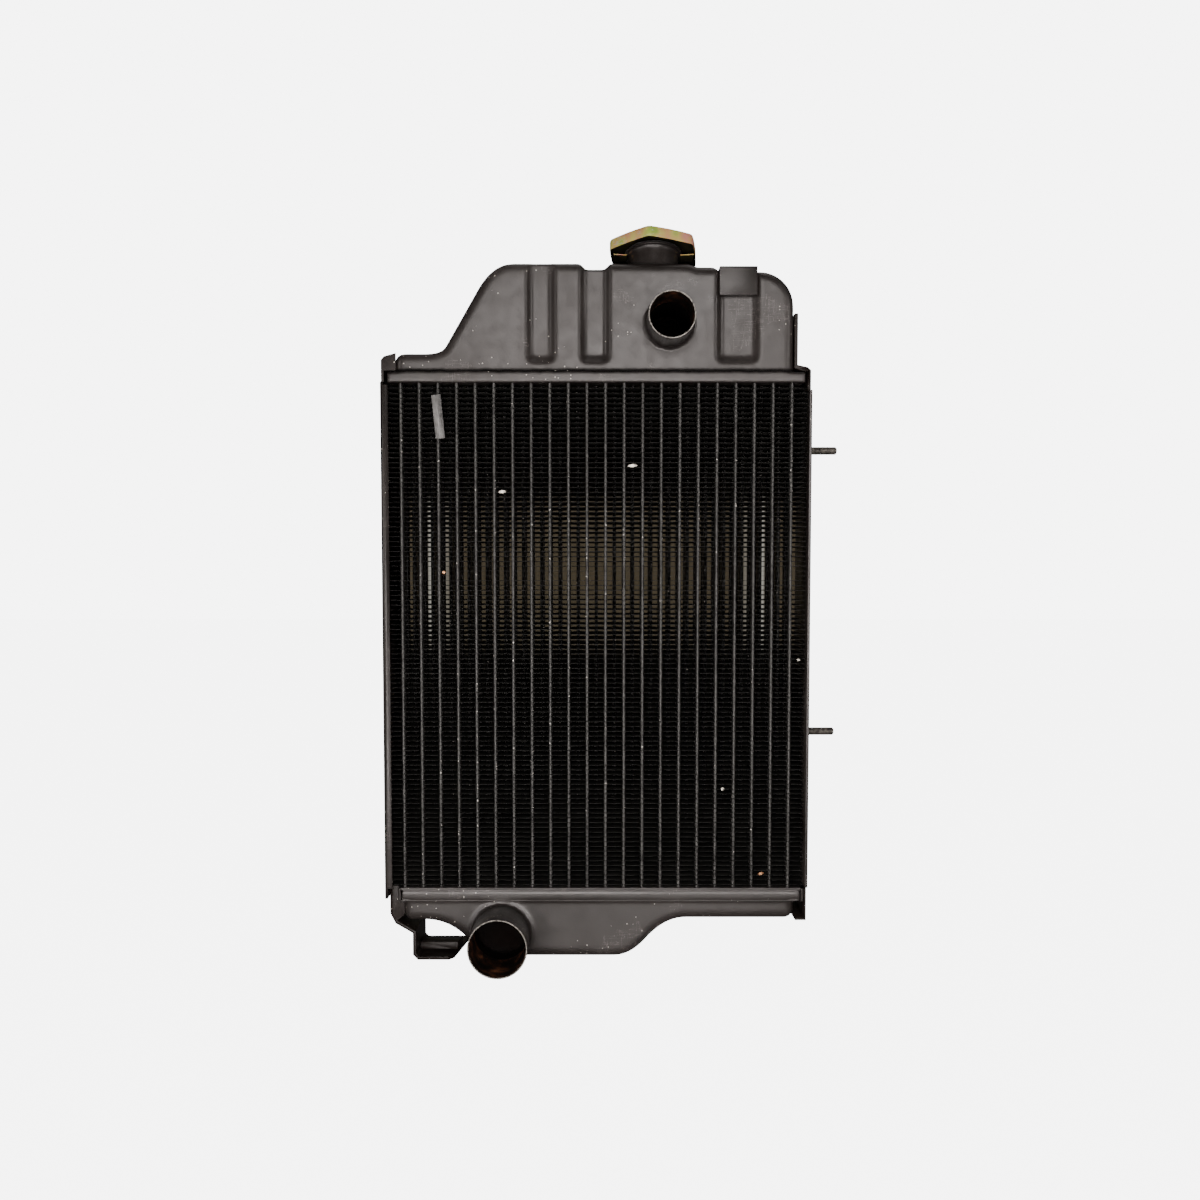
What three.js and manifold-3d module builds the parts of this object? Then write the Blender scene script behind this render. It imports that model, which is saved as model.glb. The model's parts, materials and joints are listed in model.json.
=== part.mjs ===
// Car or tractor radiator: a finned tube core between two pressed tanks, millimetres, +Z up.
// X runs across the core, Y runs front to back (the hose pipes point to -Y).
// The origin is on the bottom tank's flat underside, below the middle of the core.
import * as THREE from 'three';
import { ConvexGeometry } from 'three/addons/geometries/ConvexGeometry.js';
import { mergeVertices } from 'three/addons/utils/BufferGeometryUtils.js';
import Module from 'manifold-3d';

const wasm = await Module();
wasm.setup();

// Driving dimensions
const gap = 0.3;
const core = { bottom: 70, top: 560, halfWidth: 203.5, halfDepth: 33 };
const tube = { pitch: 18, columns: 22, width: 3, depth: 19, wall: 0.4, bottom: 66.4, top: 564 };
const rowStarts = [-31, -11.7, -9, 10];
const rowStrips = [null, [-11.7, -9.5], [7.6, 9.7], [14, 25]];
const header = { halfDepth: 38, right: 204, wall: 2.2, floor: 2, corner: 3 };
const upperHeader = { left: -204, bottom: 560, top: 573.5 };
const lowerHeader = { left: -195.3, bottom: 57, top: 70 };
const tank = { halfDepth: 34, rounding: 8, wall: 2 };
const topTank = { left: -194.5, shoulder: 591, top: 676.7, right: 190.2, base: 562.3, flange: 572 };
const bottomTank = { left: -190, shallow: 38.3, right: 195, base: 67.7, flange: 58.2 };
const rib = { depth: 5.5, slope: 6.4, foot: 580.7 };
const ribs = [
  { left: -67.8, right: -38.8, top: 690, overTop: false },
  { left: -16.3, right: 13.9, top: 690, overTop: true, dip: 671 },
  { left: 115, right: 157, top: 690, overTop: true, dip: 665.5 },
];
const inlet = { x: 70.2, z: 618, radius: 22.25, wall: 1.5, reach: 43, weld: 4 };
const outlet = { x: -93.7, z: 24.5, radius: 28.575, wall: 1.5, reach: 52, weld: 3, boss: 31.5 };
const neck = {
  x: 56.2, tilt: -12, sink: 8.1, radius: 24.25, wall: 1.5, flange: 28.5, top: 24.5, seat: 5.5, seatRadius: 17.5,
  notchStart: 25.3, notchHalf: 10.5, gasket: 28,
};
const spout = { turn: 32, height: 3.6, radius: 2.8, bore: 1.7, start: 26.4, end: 37.8, port: 15.9, portRadius: 1.7 };
const cap = {
  sides: 6, corner: 46.8, middle: 41.6, turn: -98, skirt: 20.8, top: 32.3, crown: 34, crownRadius: 21, sheet: 1.2,
  earStart: 26, earHalf: 8,
};
const rivet = { stem: 2.9, head: 6, top: 35.8, clearance: 0.3 };
const valve = { seal: 21.5, sealHole: 15, plate: 20.5, bottom: 8, top: 9.2 };
const spring = { radius: 12, wire: 1.1, turns: 4, stepsPerTurn: 8, halfSides: 3 };
const sidePlate = { outer: 207.4, sheet: 2.5, halfDepth: 38, flange: 7, left: [60, 562.5], right: [70.8, 555] };
const strap = { left: 118, right: 154, low: 645, top: 672, back: 12, sheet: 2 };
const foot = { front: -26, back: 44, floor: -5, sheet: 2.5 };
const bracket = { sheet: 2.5, leftReach: 34, rightReach: 30, endReach: 37 };
// A block wider and deeper than any tank, for trimming
const beyond = { x: [-250, 250], y: [-60, 60] };
const stud = { radius: 4, collar: 6.5, tip: 238.5, heights: [500.6, 220.7] };
const drain = { x: -20, z: 16, boss: 9.5, body: 6.5, key: 3 };
const tag = { x: -152.4, z: 530, width: 9, height: 42, sheet: 0.4, tilt: 5.7 };

const finishes = {
  paint: { color: 0x2b2a28, roughness: 0.42, metalness: 0.3 },
  fins: { color: 0x0c0c0c, roughness: 0.6, metalness: 0.3 },
  tubes: { color: 0x4a4a48, roughness: 0.5, metalness: 0.5 },
  zinc: { color: 0xc9b27a, roughness: 0.3, metalness: 0.9 },
  steel: { color: 0x8d8a84, roughness: 0.4, metalness: 0.9 },
  brass: { color: 0xb08d4a, roughness: 0.4, metalness: 0.9 },
  rubber: { color: 0x151515, roughness: 0.85, metalness: 0 },
  label: { color: 0x8f8f8c, roughness: 0.6, metalness: 0.1 },
};

const radiator = new THREE.Group();

function addPart(name, geometry, finish, parent = radiator) {
  const mesh = new THREE.Mesh(geometry, new THREE.MeshStandardMaterial(finishes[finish]));
  mesh.name = name;
  parent.add(mesh);
  return mesh;
}

// Merged vertices, no collapsed triangles, and faces that point outwards
function closedMesh(geometry) {
  const bare = geometry.index ? geometry.toNonIndexed() : geometry.clone();
  bare.deleteAttribute('normal');
  bare.deleteAttribute('uv');
  const merged = mergeVertices(bare, 1e-4);
  const points = merged.attributes.position.array;
  const faces = [];
  let volume = 0;
  for (let i = 0; i < merged.index.count; i += 3) {
    const [a, b, c] = [0, 1, 2].map((k) => merged.index.array[i + k]);
    if (a === b || b === c || a === c) continue;
    faces.push(a, b, c);
    const [p, q, r] = [a, b, c].map((v) => new THREE.Vector3().fromArray(points, v * 3));
    volume += p.dot(q.cross(r));
  }
  if (volume < 0) faces.reverse();
  const closed = new THREE.BufferGeometry();
  closed.setAttribute('position', new THREE.Float32BufferAttribute(points, 3));
  closed.setIndex(faces);
  return closed;
}

function toSolid(geometry) {
  const closed = closedMesh(geometry);
  const vertProperties = new Float32Array(closed.attributes.position.array);
  const triVerts = new Uint32Array(closed.index.array);
  return new wasm.Manifold(new wasm.Mesh({ numProp: 3, vertProperties, triVerts }));
}

function toGeometry(body) {
  const mesh = body.getMesh();
  const geometry = new THREE.BufferGeometry();
  geometry.setAttribute('position', new THREE.Float32BufferAttribute(mesh.vertProperties, 3));
  geometry.setIndex(Array.from(mesh.triVerts));
  return geometry;
}

const joinAll = (bodies) => bodies.reduce((whole, body) => whole.add(body));
const cutAll = (body, cutters) => cutters.reduce((whole, cutter) => whole.subtract(cutter), body);

function boxFrom([x0, x1], [y0, y1], [z0, z1]) {
  const box = new THREE.BoxGeometry(x1 - x0, y1 - y0, z1 - z0);
  return box.translate((x0 + x1) / 2, (y0 + y1) / 2, (z0 + z1) / 2);
}

function polygon(points) {
  return new THREE.Shape(points.map(([x, y]) => new THREE.Vector2(x, y)));
}

// A shape in X and Y raised from z0 to z1
function raised(shape, z0, z1, curveSegments = 6) {
  const settings = { depth: z1 - z0, bevelEnabled: false, curveSegments };
  return new THREE.ExtrudeGeometry(shape, settings).translate(0, 0, z0);
}

// A shape in X and Z run from y0 to y1
function runAlongY(shape, y0, y1, curveSegments = 6) {
  const settings = { depth: y1 - y0, bevelEnabled: false, curveSegments };
  return new THREE.ExtrudeGeometry(shape, settings).rotateX(Math.PI / 2).translate(0, y1, 0);
}

// A tank outline in X and Z with rounded front and back edges, grown inwards by inset
function roundedTank(shape, inset) {
  const bevel = tank.rounding - inset;
  const half = tank.halfDepth - inset;
  const settings = {
    depth: 2 * (half - bevel), curveSegments: 5, bevelEnabled: true, bevelSegments: 2,
    bevelThickness: bevel, bevelSize: bevel, bevelOffset: -tank.rounding,
  };
  return new THREE.ExtrudeGeometry(shape, settings).rotateX(Math.PI / 2).translate(0, half - bevel, 0);
}

// Closed ring or bar turned about Z from [radius, height] pairs
function turned(profile, segments = 32) {
  const points = [...profile, profile[0]].map(([r, h]) => new THREE.Vector2(r, h));
  return new THREE.LatheGeometry(points, segments).rotateX(Math.PI / 2);
}

function roundedRectangle(x0, x1, y0, y1, corner) {
  const shape = new THREE.Shape();
  shape.absarc(x1 - corner, y1 - corner, corner, 0, Math.PI / 2);
  shape.absarc(x0 + corner, y1 - corner, corner, Math.PI / 2, Math.PI);
  shape.absarc(x0 + corner, y0 + corner, corner, Math.PI, 1.5 * Math.PI);
  shape.absarc(x1 - corner, y0 + corner, corner, 1.5 * Math.PI, 2 * Math.PI);
  return shape;
}

// Tube columns: the front set, and the second set half a pitch across
function columnPlaces(row) {
  const shifted = row % 2 === 1;
  const count = shifted ? tube.columns - 1 : tube.columns;
  return Array.from({ length: count }, (_, i) => (i - (count - 1) / 2) * tube.pitch);
}

function tubeSlots(z0, z1) {
  const half = tube.width / 2 + gap;
  const slots = [];
  for (const row of [0, 1]) {
    const front = rowStarts[row] - gap;
    const back = rowStarts[row + 2] + tube.depth + gap;
    for (const x of columnPlaces(row)) {
      slots.push(toSolid(boxFrom([x - half, x + half], [front, back], [z0, z1])));
    }
  }
  return slots;
}

function coreFins() {
  const { halfWidth, halfDepth, bottom, top } = core;
  const block = boxFrom([-halfWidth, halfWidth], [-halfDepth, halfDepth], [bottom + gap, top - gap]);
  return toGeometry(cutAll(toSolid(block), tubeSlots(bottom - 1, top + 1)));
}

function tubeSection(x, row) {
  const half = tube.width / 2;
  const front = rowStarts[row];
  const back = front + tube.depth;
  const corners = (i) => [
    [x - half + i, front + i], [x + half - i, front + i], [x + half - i, back - i], [x - half + i, back - i],
  ];
  const shape = polygon(corners(0));
  shape.holes.push(new THREE.Path(polygon(corners(tube.wall)).getPoints()));
  return shape;
}

// One row of tubes held together by a line of solder just inside the upper header
function tubeRow(row) {
  const places = columnPlaces(row);
  const half = tube.width / 2;
  const front = rowStarts[row];
  const back = front + tube.depth;
  const height = [tube.bottom, tube.top];
  const bars = places.map((x) => toSolid(boxFrom([x - half, x + half], [front, back], height)));
  const end = places[places.length - 1];
  const strip = toSolid(boxFrom([-end, end], rowStrips[row], [tube.top - 1.6, tube.top - 0.6]));
  const passages = places.map((x) => toSolid(boxFrom(
    [x - half + tube.wall, x + half - tube.wall],
    [front + tube.wall, back - tube.wall],
    [tube.bottom - 1, tube.top + 1],
  )));
  return toGeometry(cutAll(joinAll([...bars, strip]), passages));
}

// A shallow pan whose floor takes the tube ends; floorLow says which side of it the floor is on
function headerPlate(place, floorLow) {
  const { halfDepth, right, wall, floor, corner } = header;
  const outer = roundedRectangle(place.left, right, -halfDepth, halfDepth, corner);
  const deep = halfDepth - wall;
  const inner = roundedRectangle(place.left + wall, right - wall, -deep, deep, corner - wall);
  const hollow = floorLow ? [place.bottom + floor, place.top + 1] : [place.bottom - 1, place.top - floor];
  const pan = toSolid(raised(outer, place.bottom, place.top, 3));
  const cavity = toSolid(raised(inner, hollow[0], hollow[1], 3));
  return toGeometry(cutAll(pan, [cavity, ...tubeSlots(place.bottom - 1, place.top + 1)]));
}

function topOutline() {
  const { left, shoulder, top, right } = topTank;
  const cornerRadius = 9;
  const bigCorner = 33;
  const shape = new THREE.Shape();
  shape.moveTo(left, core.top - 20);
  shape.lineTo(left, shoulder - cornerRadius);
  shape.absarc(left + cornerRadius, shoulder - cornerRadius, cornerRadius, Math.PI, Math.PI / 2, true);
  shape.lineTo(-166, shoulder);
  shape.quadraticCurveTo(-149.6, shoulder, -145.8, 597.5);
  shape.lineTo(-114.4, 651.8);
  shape.quadraticCurveTo(-100, top, -80, top);
  shape.lineTo(88, top);
  shape.lineTo(97, 673.4);
  shape.lineTo(114, 673.4);
  shape.lineTo(right - bigCorner, 669);
  shape.absarc(right - bigCorner, 669 - bigCorner, bigCorner, Math.PI / 2, 0, true);
  shape.lineTo(right, core.top - 20);
  return shape;
}

function bottomOutline() {
  const { left, shallow, right } = bottomTank;
  const leftFloor = 36.2;
  const cornerRadius = 9;
  const shape = new THREE.Shape();
  shape.moveTo(left, core.bottom + 20);
  shape.lineTo(left, leftFloor + cornerRadius);
  shape.absarc(left + cornerRadius, leftFloor + cornerRadius, cornerRadius, Math.PI, 1.5 * Math.PI);
  shape.lineTo(-170, leftFloor);
  shape.quadraticCurveTo(-146, leftFloor, -128, 17.5);
  shape.quadraticCurveTo(-111, 0, -100, 0);
  shape.lineTo(17.5, 0);
  shape.quadraticCurveTo(34, 0, 49, 17);
  shape.quadraticCurveTo(67.8, shallow, 88.5, shallow);
  shape.lineTo(right - cornerRadius, shallow);
  shape.absarc(right - cornerRadius, shallow + cornerRadius, cornerRadius, 1.5 * Math.PI, 2 * Math.PI);
  shape.lineTo(right, core.bottom + 20);
  return shape;
}

// A tapered pocket between a wide rectangle at one depth and a narrow one further in
function pocket(wide, narrow, place) {
  const points = [];
  for (const [rect, level] of [wide, narrow]) {
    for (const x of [rect[0], rect[1]]) {
      for (const other of [rect[2], rect[3]]) points.push(place(x, other, level));
    }
  }
  return toSolid(new ConvexGeometry(points));
}

// The pressed stiffening ribs: pockets in the front and back faces, and dips where they cross the top
function ribPockets(grow) {
  const pockets = [];
  const lift = 3;
  const spread = (rib.slope * lift) / rib.depth;
  for (const { left, right, top, overTop, dip } of ribs) {
    const outer = [left - spread - grow, right + spread + grow, rib.foot - spread - grow, top + grow];
    const step = rib.slope - grow;
    const inner = [left + step, right - step, rib.foot + step, top - step];
    for (const side of [-1, 1]) {
      const place = (x, z, y) => new THREE.Vector3(x, side * y, z);
      const levels = [tank.halfDepth + lift, tank.halfDepth - rib.depth - grow];
      pockets.push(pocket([outer, levels[0]], [inner, levels[1]], place));
    }
    if (overTop) {
      const place = (x, y, z) => new THREE.Vector3(x, y, z);
      const reach = tank.halfDepth + 5;
      const high = [left - spread - grow, right + spread + grow, -reach, reach];
      const low = [left + rib.slope - grow, right - rib.slope + grow, -reach, reach];
      pockets.push(pocket([high, dip + rib.depth + lift], [low, dip - grow], place));
    }
  }
  return pockets;
}

function bore(radius, x, z, y0, y1, segments = 32) {
  const rod = turned([[0, y0], [radius, y0], [radius, y1], [0, y1]], segments);
  return toSolid(rod.rotateX(-Math.PI / 2).translate(x, 0, z));
}

function topTankShell() {
  const { base, flange } = topTank;
  const edge = header.right - header.wall - gap;
  const outline = topOutline();
  const below = toSolid(boxFrom(beyond.x, beyond.y, [base - 60, flange - 1]));
  const belowCavity = toSolid(boxFrom(beyond.x, beyond.y, [base - 60, flange - 3]));
  const deep = header.halfDepth - header.wall - gap;
  const corner = header.corner - header.wall - gap;
  const footBlock = toSolid(raised(roundedRectangle(-edge, edge, -deep, deep, corner), base, flange, 3));
  const wall = tank.wall + gap;
  const hollowHeight = [base - 1, flange - tank.wall];
  const footHollow = toSolid(boxFrom([wall - edge, edge - wall], [wall - deep, deep - wall], hollowHeight));
  const outer = cutAll(toSolid(roundedTank(outline, 0)).subtract(below).add(footBlock), ribPockets(0));
  const inside = toSolid(roundedTank(outline, tank.wall)).subtract(belowCavity);
  const hollow = cutAll(inside, ribPockets(tank.wall));
  const neckHole = turned([[0, -20], [neck.radius + gap, -20], [neck.radius + gap, 20], [0, 20]]);
  neckHole.rotateX(THREE.MathUtils.degToRad(neck.tilt)).translate(neck.x, 0, topTank.top);
  const inletHole = bore(inlet.radius + gap, inlet.x, inlet.z, -60, 0);
  return toGeometry(cutAll(outer, [hollow, footHollow, toSolid(neckHole), inletHole]));
}

function bottomTankShell() {
  const { base, flange } = bottomTank;
  const deep = header.halfDepth - header.wall - gap;
  const wall = tank.wall + gap;
  const left = lowerHeader.left + header.wall + gap;
  const right = header.right - header.wall - gap;
  const outline = bottomOutline();
  const above = toSolid(boxFrom(beyond.x, beyond.y, [flange + 1, flange + 60]));
  const aboveCavity = toSolid(boxFrom(beyond.x, beyond.y, [flange + 3, flange + 60]));
  const corner = header.corner - header.wall - gap;
  const footBlock = toSolid(raised(roundedRectangle(left, right, -deep, deep, corner), flange, base, 3));
  const hollowHeight = [flange + tank.wall, base + 1];
  const footHollow = toSolid(boxFrom([left + wall, right - wall], [wall - deep, deep - wall], hollowHeight));
  const boss = bore(outlet.boss, outlet.x, outlet.z, -tank.halfDepth - 1.5, -8);
  const outer = toSolid(roundedTank(outline, 0)).subtract(above).add(boss).add(footBlock);
  const hollow = toSolid(roundedTank(outline, tank.wall)).subtract(aboveCavity);
  const bossHollow = bore(outlet.boss - tank.wall, outlet.x, outlet.z, -tank.halfDepth + 1, -10);
  const mouth = bore(outlet.radius + gap, outlet.x, outlet.z, -60, -20);
  const drainHole = bore(drain.key + 0.5, drain.x, drain.z, 0, 60, 12);
  return toGeometry(cutAll(outer, [hollow, footHollow, bossHollow, mouth, drainHole]));
}

// A hose pipe along Y with a fillet of weld where it meets the tank face
function hosePipe(pipe, face) {
  const { radius, wall, reach, weld } = pipe;
  const tip = -tank.halfDepth - reach;
  const profile = [
    [radius, tip], [radius, face - weld - gap], [radius + weld, face - gap], [radius, face - gap],
    [radius, face + 4], [radius - wall, face + 4], [radius - wall, tip],
  ];
  return turned(profile, 40).rotateX(-Math.PI / 2).translate(pipe.x, 0, pipe.z);
}

function fillerNeck() {
  const { radius, wall, flange, top, seat, seatRadius, notchStart, notchHalf } = neck;
  const bore0 = radius - wall;
  const ring = toSolid(turned([
    [radius, -4], [radius, top - 1.5], [flange, top - 1.5], [flange, top], [bore0, top], [bore0, seat],
    [seatRadius, seat], [seatRadius, seat - 1.5], [bore0, seat - 1.5], [bore0, -4],
  ], 40));
  const notches = [-1, 1].map((side) => {
    const reach = [side * notchStart, side * 40].sort((a, b) => a - b);
    return toSolid(boxFrom(reach, [-notchHalf, notchHalf], [top - 3, top + 1]));
  });
  const portRod = disc(spout.portRadius, 10, 40, 0, 12).rotateX(-Math.PI / 2);
  const port = toSolid(portRod.rotateZ(THREE.MathUtils.degToRad(spout.turn)).translate(0, 0, spout.port));
  return toGeometry(cutAll(ring, [...notches, port]));
}

// A level spout behind the neck, between the neck's flange and the tank's top
function overflowSpout() {
  const { radius, bore: hole, start, end, turn, height } = spout;
  const pipe = turned([[radius, start], [radius, end], [hole, end], [hole, start]], 16).rotateX(-Math.PI / 2);
  return pipe.rotateZ(THREE.MathUtils.degToRad(turn)).translate(neck.x, 0, topTank.top + height);
}

// The cap's six-sided outline, each side pushed out a little at its middle
function capOutline(inset) {
  const turn = THREE.MathUtils.degToRad(cap.turn);
  const corners = Array.from({ length: 2 * cap.sides }, (_, i) => {
    const angle = turn + (i * Math.PI) / cap.sides;
    const radius = i % 2 === 0 ? cap.corner - inset * 1.12 : cap.middle - inset;
    return [radius * Math.cos(angle), radius * Math.sin(angle)];
  });
  return polygon(corners);
}

function disc(radius, z0, z1, hole = 0, segments = 24) {
  return turned([[hole, z0], [radius, z0], [radius, z1], [hole, z1]], segments);
}

function capShell() {
  const { skirt, top, crown, crownRadius, sheet, earStart, earHalf } = cap;
  const outer = toSolid(raised(capOutline(0), skirt, top));
  const inner = toSolid(raised(capOutline(sheet), skirt - 1, top - sheet));
  const dome = toSolid(disc(crownRadius, top - sheet, crown));
  const domeHollow = toSolid(disc(crownRadius - sheet, top - 3, crown - sheet));
  const rivetHole = toSolid(disc(rivet.stem + rivet.clearance, skirt, crown + 5, 0, 16));
  const ears = [-1, 1].map((side) => {
    const reach = [side * earStart, side * cap.corner].sort((a, b) => a - b);
    return toSolid(boxFrom(reach, [-earHalf, earHalf], [skirt, skirt + sheet])).intersect(outer);
  });
  return toGeometry(cutAll(joinAll([outer.subtract(inner), dome, ...ears]), [domeHollow, rivetHole]));
}

function capRivet() {
  const { stem, head, top } = rivet;
  return turned([
    [0, 6.3], [4.5, 6.3], [4.5, 7.5], [stem, 7.5], [stem, cap.crown + gap], [head, cap.crown + gap],
    [head - 1, top], [0, top],
  ], 16);
}

function pressureSpring() {
  const { radius, wire, turns, stepsPerTurn, halfSides } = spring;
  const low = valve.top + gap + wire;
  const high = neck.top - wire - gap;
  const steps = turns * stepsPerTurn;
  const coil = new THREE.CatmullRomCurve3(Array.from({ length: steps + 1 }, (_, i) => {
    const angle = (i / stepsPerTurn) * 2 * Math.PI;
    const height = low + ((high - low) * i) / steps;
    return new THREE.Vector3(radius * Math.cos(angle), radius * Math.sin(angle), height);
  }));
  const section = new THREE.Shape();
  section.absarc(0, 0, wire, 0, 2 * Math.PI);
  return new THREE.ExtrudeGeometry(section, { steps, curveSegments: halfSides, extrudePath: coil });
}

function vacuumValve() {
  return turned([
    [0, 6.4], [3, 6.4], [3, 7.6], [1, 7.6], [1, 11.7], [1.8, 11.7], [1.8, 12.5], [0, 12.5],
  ], 12).translate(8.5, 0, 0);
}

function valvePlate() {
  const cup = toSolid(turned([
    [3.3, valve.bottom], [valve.plate, valve.bottom], [valve.plate, valve.top + 3],
    [valve.plate - 1.2, valve.top + 3], [valve.plate - 1.2, valve.top], [3.3, valve.top],
  ]));
  return toGeometry(cup.subtract(toSolid(disc(1.3, 5, 15, 0, 12).translate(8.5, 0, 0))));
}

// Neck and cap share one leaning frame, sunk a little below the tank's top
function addNeckAndCap() {
  const leaning = new THREE.Group();
  const tilt = THREE.MathUtils.degToRad(neck.tilt);
  leaning.position.set(neck.x, neck.sink * Math.sin(tilt), topTank.top - neck.sink * Math.cos(tilt));
  leaning.rotation.x = tilt;
  radiator.add(leaning);
  addPart('filler_neck', fillerNeck(), 'paint', leaning);
  addPart('overflow_spout', overflowSpout(), 'paint');
  addPart('cap_shell', capShell(), 'zinc', leaning);
  addPart('cap_rivet', capRivet(), 'steel', leaning);
  const gasket = disc(neck.gasket, neck.top + gap, neck.top + 1.3, rivet.stem + rivet.clearance);
  addPart('cap_gasket', gasket, 'rubber', leaning);
  addPart('cap_spring', pressureSpring(), 'steel', leaning);
  addPart('pressure_valve_plate', valvePlate(), 'brass', leaning);
  const sealBottom = neck.seat + gap;
  const seal = disc(valve.seal, sealBottom, valve.bottom - gap, valve.sealHole);
  addPart('pressure_seal', seal, 'rubber', leaning);
  addPart('vacuum_valve', vacuumValve(), 'brass', leaning);
}

// A folded strap over the third rib, down the front and along the top
function tankStrap() {
  const front = -tank.halfDepth - gap;
  const { left, right, low, top, back, sheet } = strap;
  const leg = boxFrom([left, right], [front - sheet, front], [low, top]);
  const cover = boxFrom([left, right], [front - sheet, back], [top - sheet, top]);
  return toGeometry(toSolid(leg).add(toSolid(cover)));
}

function leftSidePlate() {
  const { outer, sheet, halfDepth, flange } = sidePlate;
  const inner = outer - sheet;
  const web = boxFrom([-outer, -inner], [-halfDepth, halfDepth], sidePlate.left);
  const lips = [-1, 1].map((side) => {
    const depth = [side * halfDepth, side * (halfDepth - sheet)].sort((a, b) => a - b);
    return toSolid(boxFrom([-outer, flange - outer], depth, [70.2, core.top - gap]));
  });
  return toGeometry(joinAll([toSolid(web), ...lips]));
}

function rightSidePlate() {
  const { outer, sheet, halfDepth } = sidePlate;
  return boxFrom([outer - sheet, outer], [-halfDepth, halfDepth], sidePlate.right);
}

// A bent strip from the side plate down to a shelf with one raised band, and a gusset behind the tank's end
function leftFootBracket() {
  const { front, back, floor, sheet } = foot;
  const strip = toSolid(runAlongY(polygon([
    [-204.6, 69.8], [-204.6, 42], [-199.6, 32], [-182.5, 22], [-182.5, 0], [-177.5, -5], [-150, -5],
    [-150, -2], [-176.3, -2], [-179.5, 1.2], [-179.5, 23.7], [-197.5, 34.2], [-201.6, 42.8], [-201.6, 69.8],
  ]), front, back));
  const shelfShape = polygon([[-160, front], [-146.7, front], [-142, front + 6], [-132.5, back], [-160, back]]);
  const shelf = toSolid(raised(shelfShape, floor, floor + 3));
  const band = toSolid(raised(polygon([[-178.5, 0], [-141, 0], [-138, 21], [-178.5, 21]]), floor + 1, -floor));
  const gusset = toSolid(runAlongY(polygon([
    [-202, 69.8], [-195.9, 69.8], [-195.9, 56.6], [-190.4, 56.6], [-190.4, 41], [-197.8, 34.6], [-202, 43],
  ]), front, front + sheet));
  return toGeometry(joinAll([strip, shelf, band, gusset]));
}

function rightTankBracket() {
  return runAlongY(polygon([
    [190.9, 629], [190.9, 577], [200, 573.9], [204.6, 573.9], [204.6, 555.4], [207.4, 555.4],
    [207.4, 575], [204, 578], [194.4, 580], [194.4, 629],
  ]), -bracket.rightReach, bracket.rightReach);
}

// A channel between the left side plate and the tank's shoulder: a side web with a gusset at each end
function leftTankBracket() {
  const { sheet, leftReach: reach } = bracket;
  const side = toSolid(boxFrom([-207.2, -204.5], [-reach, reach], [562.9, 584]));
  const gusset = polygon([
    [-207.2, 562.9], [-204.5, 562.9], [-204.5, 573.9], [-192.9, 573.9], [-192.9, 590.5],
    [-204, 587.5], [-207.2, 584],
  ]);
  const front = toSolid(runAlongY(gusset, -reach, sheet - reach));
  const back = toSolid(runAlongY(gusset, reach - sheet, reach));
  return toGeometry(joinAll([side, front, back]));
}

function lowerRightEndPlate() {
  return runAlongY(polygon([
    [195.4, 40.8], [195.4, 38.3], [206.3, 38.3], [206.3, 70.3], [204.3, 70.3], [204.3, 40.8],
  ]), -bracket.endReach, bracket.endReach);
}

function plateStud(z) {
  const start = sidePlate.outer + gap;
  const { radius, collar, tip } = stud;
  const profile = [
    [0, start], [collar, start], [collar, start + 1.5], [radius, start + 1.5], [radius, tip - 1],
    [radius - 1, tip], [0, tip],
  ];
  return turned(profile, 12).rotateY(Math.PI / 2).translate(0, 0, z);
}

// The drain tap at the back of the bottom tank
function addDrainTap() {
  const face = tank.halfDepth + gap;
  const alongY = (profile, segments) => {
    return turned(profile, segments).rotateX(-Math.PI / 2).translate(drain.x, 0, drain.z);
  };
  const { boss, body, key } = drain;
  const bossProfile = [[key + 0.5, face], [boss, face], [boss - 1, face + 6], [key + 0.5, face + 6]];
  addPart('drain_boss', alongY(bossProfile, 24), 'paint');
  const bodyFront = face + 6 + gap;
  const hexBore = (key + gap) / Math.cos(Math.PI / 6);
  addPart('drain_tap_body', alongY([
    [hexBore, bodyFront], [body, bodyFront], [body, bodyFront + 12], [hexBore, bodyFront + 12],
  ], 6), 'brass');
  const keyEnd = bodyFront + 13;
  const spindle = toSolid(alongY([[0, bodyFront + 2], [key, bodyFront + 2], [key, keyEnd + 2], [0, keyEnd + 2]], 12));
  const wing = toSolid(boxFrom([drain.x - 11, drain.x + 11], [keyEnd, keyEnd + 2.5], [drain.z - 4, drain.z + 4]));
  addPart('drain_tap_key', toGeometry(spindle.add(wing)), 'brass');
}

function coreTag() {
  const { width, height, sheet, tilt } = tag;
  const plate = new THREE.BoxGeometry(width, sheet, height);
  const front = -core.halfDepth - gap - sheet / 2;
  return plate.rotateY(-THREE.MathUtils.degToRad(tilt)).translate(tag.x, front, tag.z);
}

addPart('core_fins', coreFins(), 'fins');
columnPlaces(0).forEach((x, i) => {
  const name = `tube_${String(i + 1).padStart(2, '0')}`;
  addPart(name, raised(tubeSection(x, 0), tube.bottom, tube.top), 'tubes');
});
for (const row of [1, 2, 3]) addPart(`tube_row_${row + 1}`, tubeRow(row), 'tubes');
addPart('upper_header_plate', headerPlate(upperHeader, true), 'paint');
addPart('lower_header_plate', headerPlate(lowerHeader, false), 'paint');
addPart('top_tank', topTankShell(), 'paint');
addPart('bottom_tank', bottomTankShell(), 'paint');
addPart('inlet_pipe', hosePipe(inlet, -tank.halfDepth), 'paint');
addPart('outlet_pipe', hosePipe(outlet, -tank.halfDepth - 1.5), 'paint');
addNeckAndCap();
addPart('tank_strap', tankStrap(), 'paint');
addPart('left_side_plate', leftSidePlate(), 'paint');
addPart('right_side_plate', rightSidePlate(), 'paint');
addPart('left_foot_bracket', leftFootBracket(), 'paint');
addPart('right_tank_bracket', rightTankBracket(), 'paint');
addPart('left_tank_bracket', leftTankBracket(), 'paint');
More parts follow.
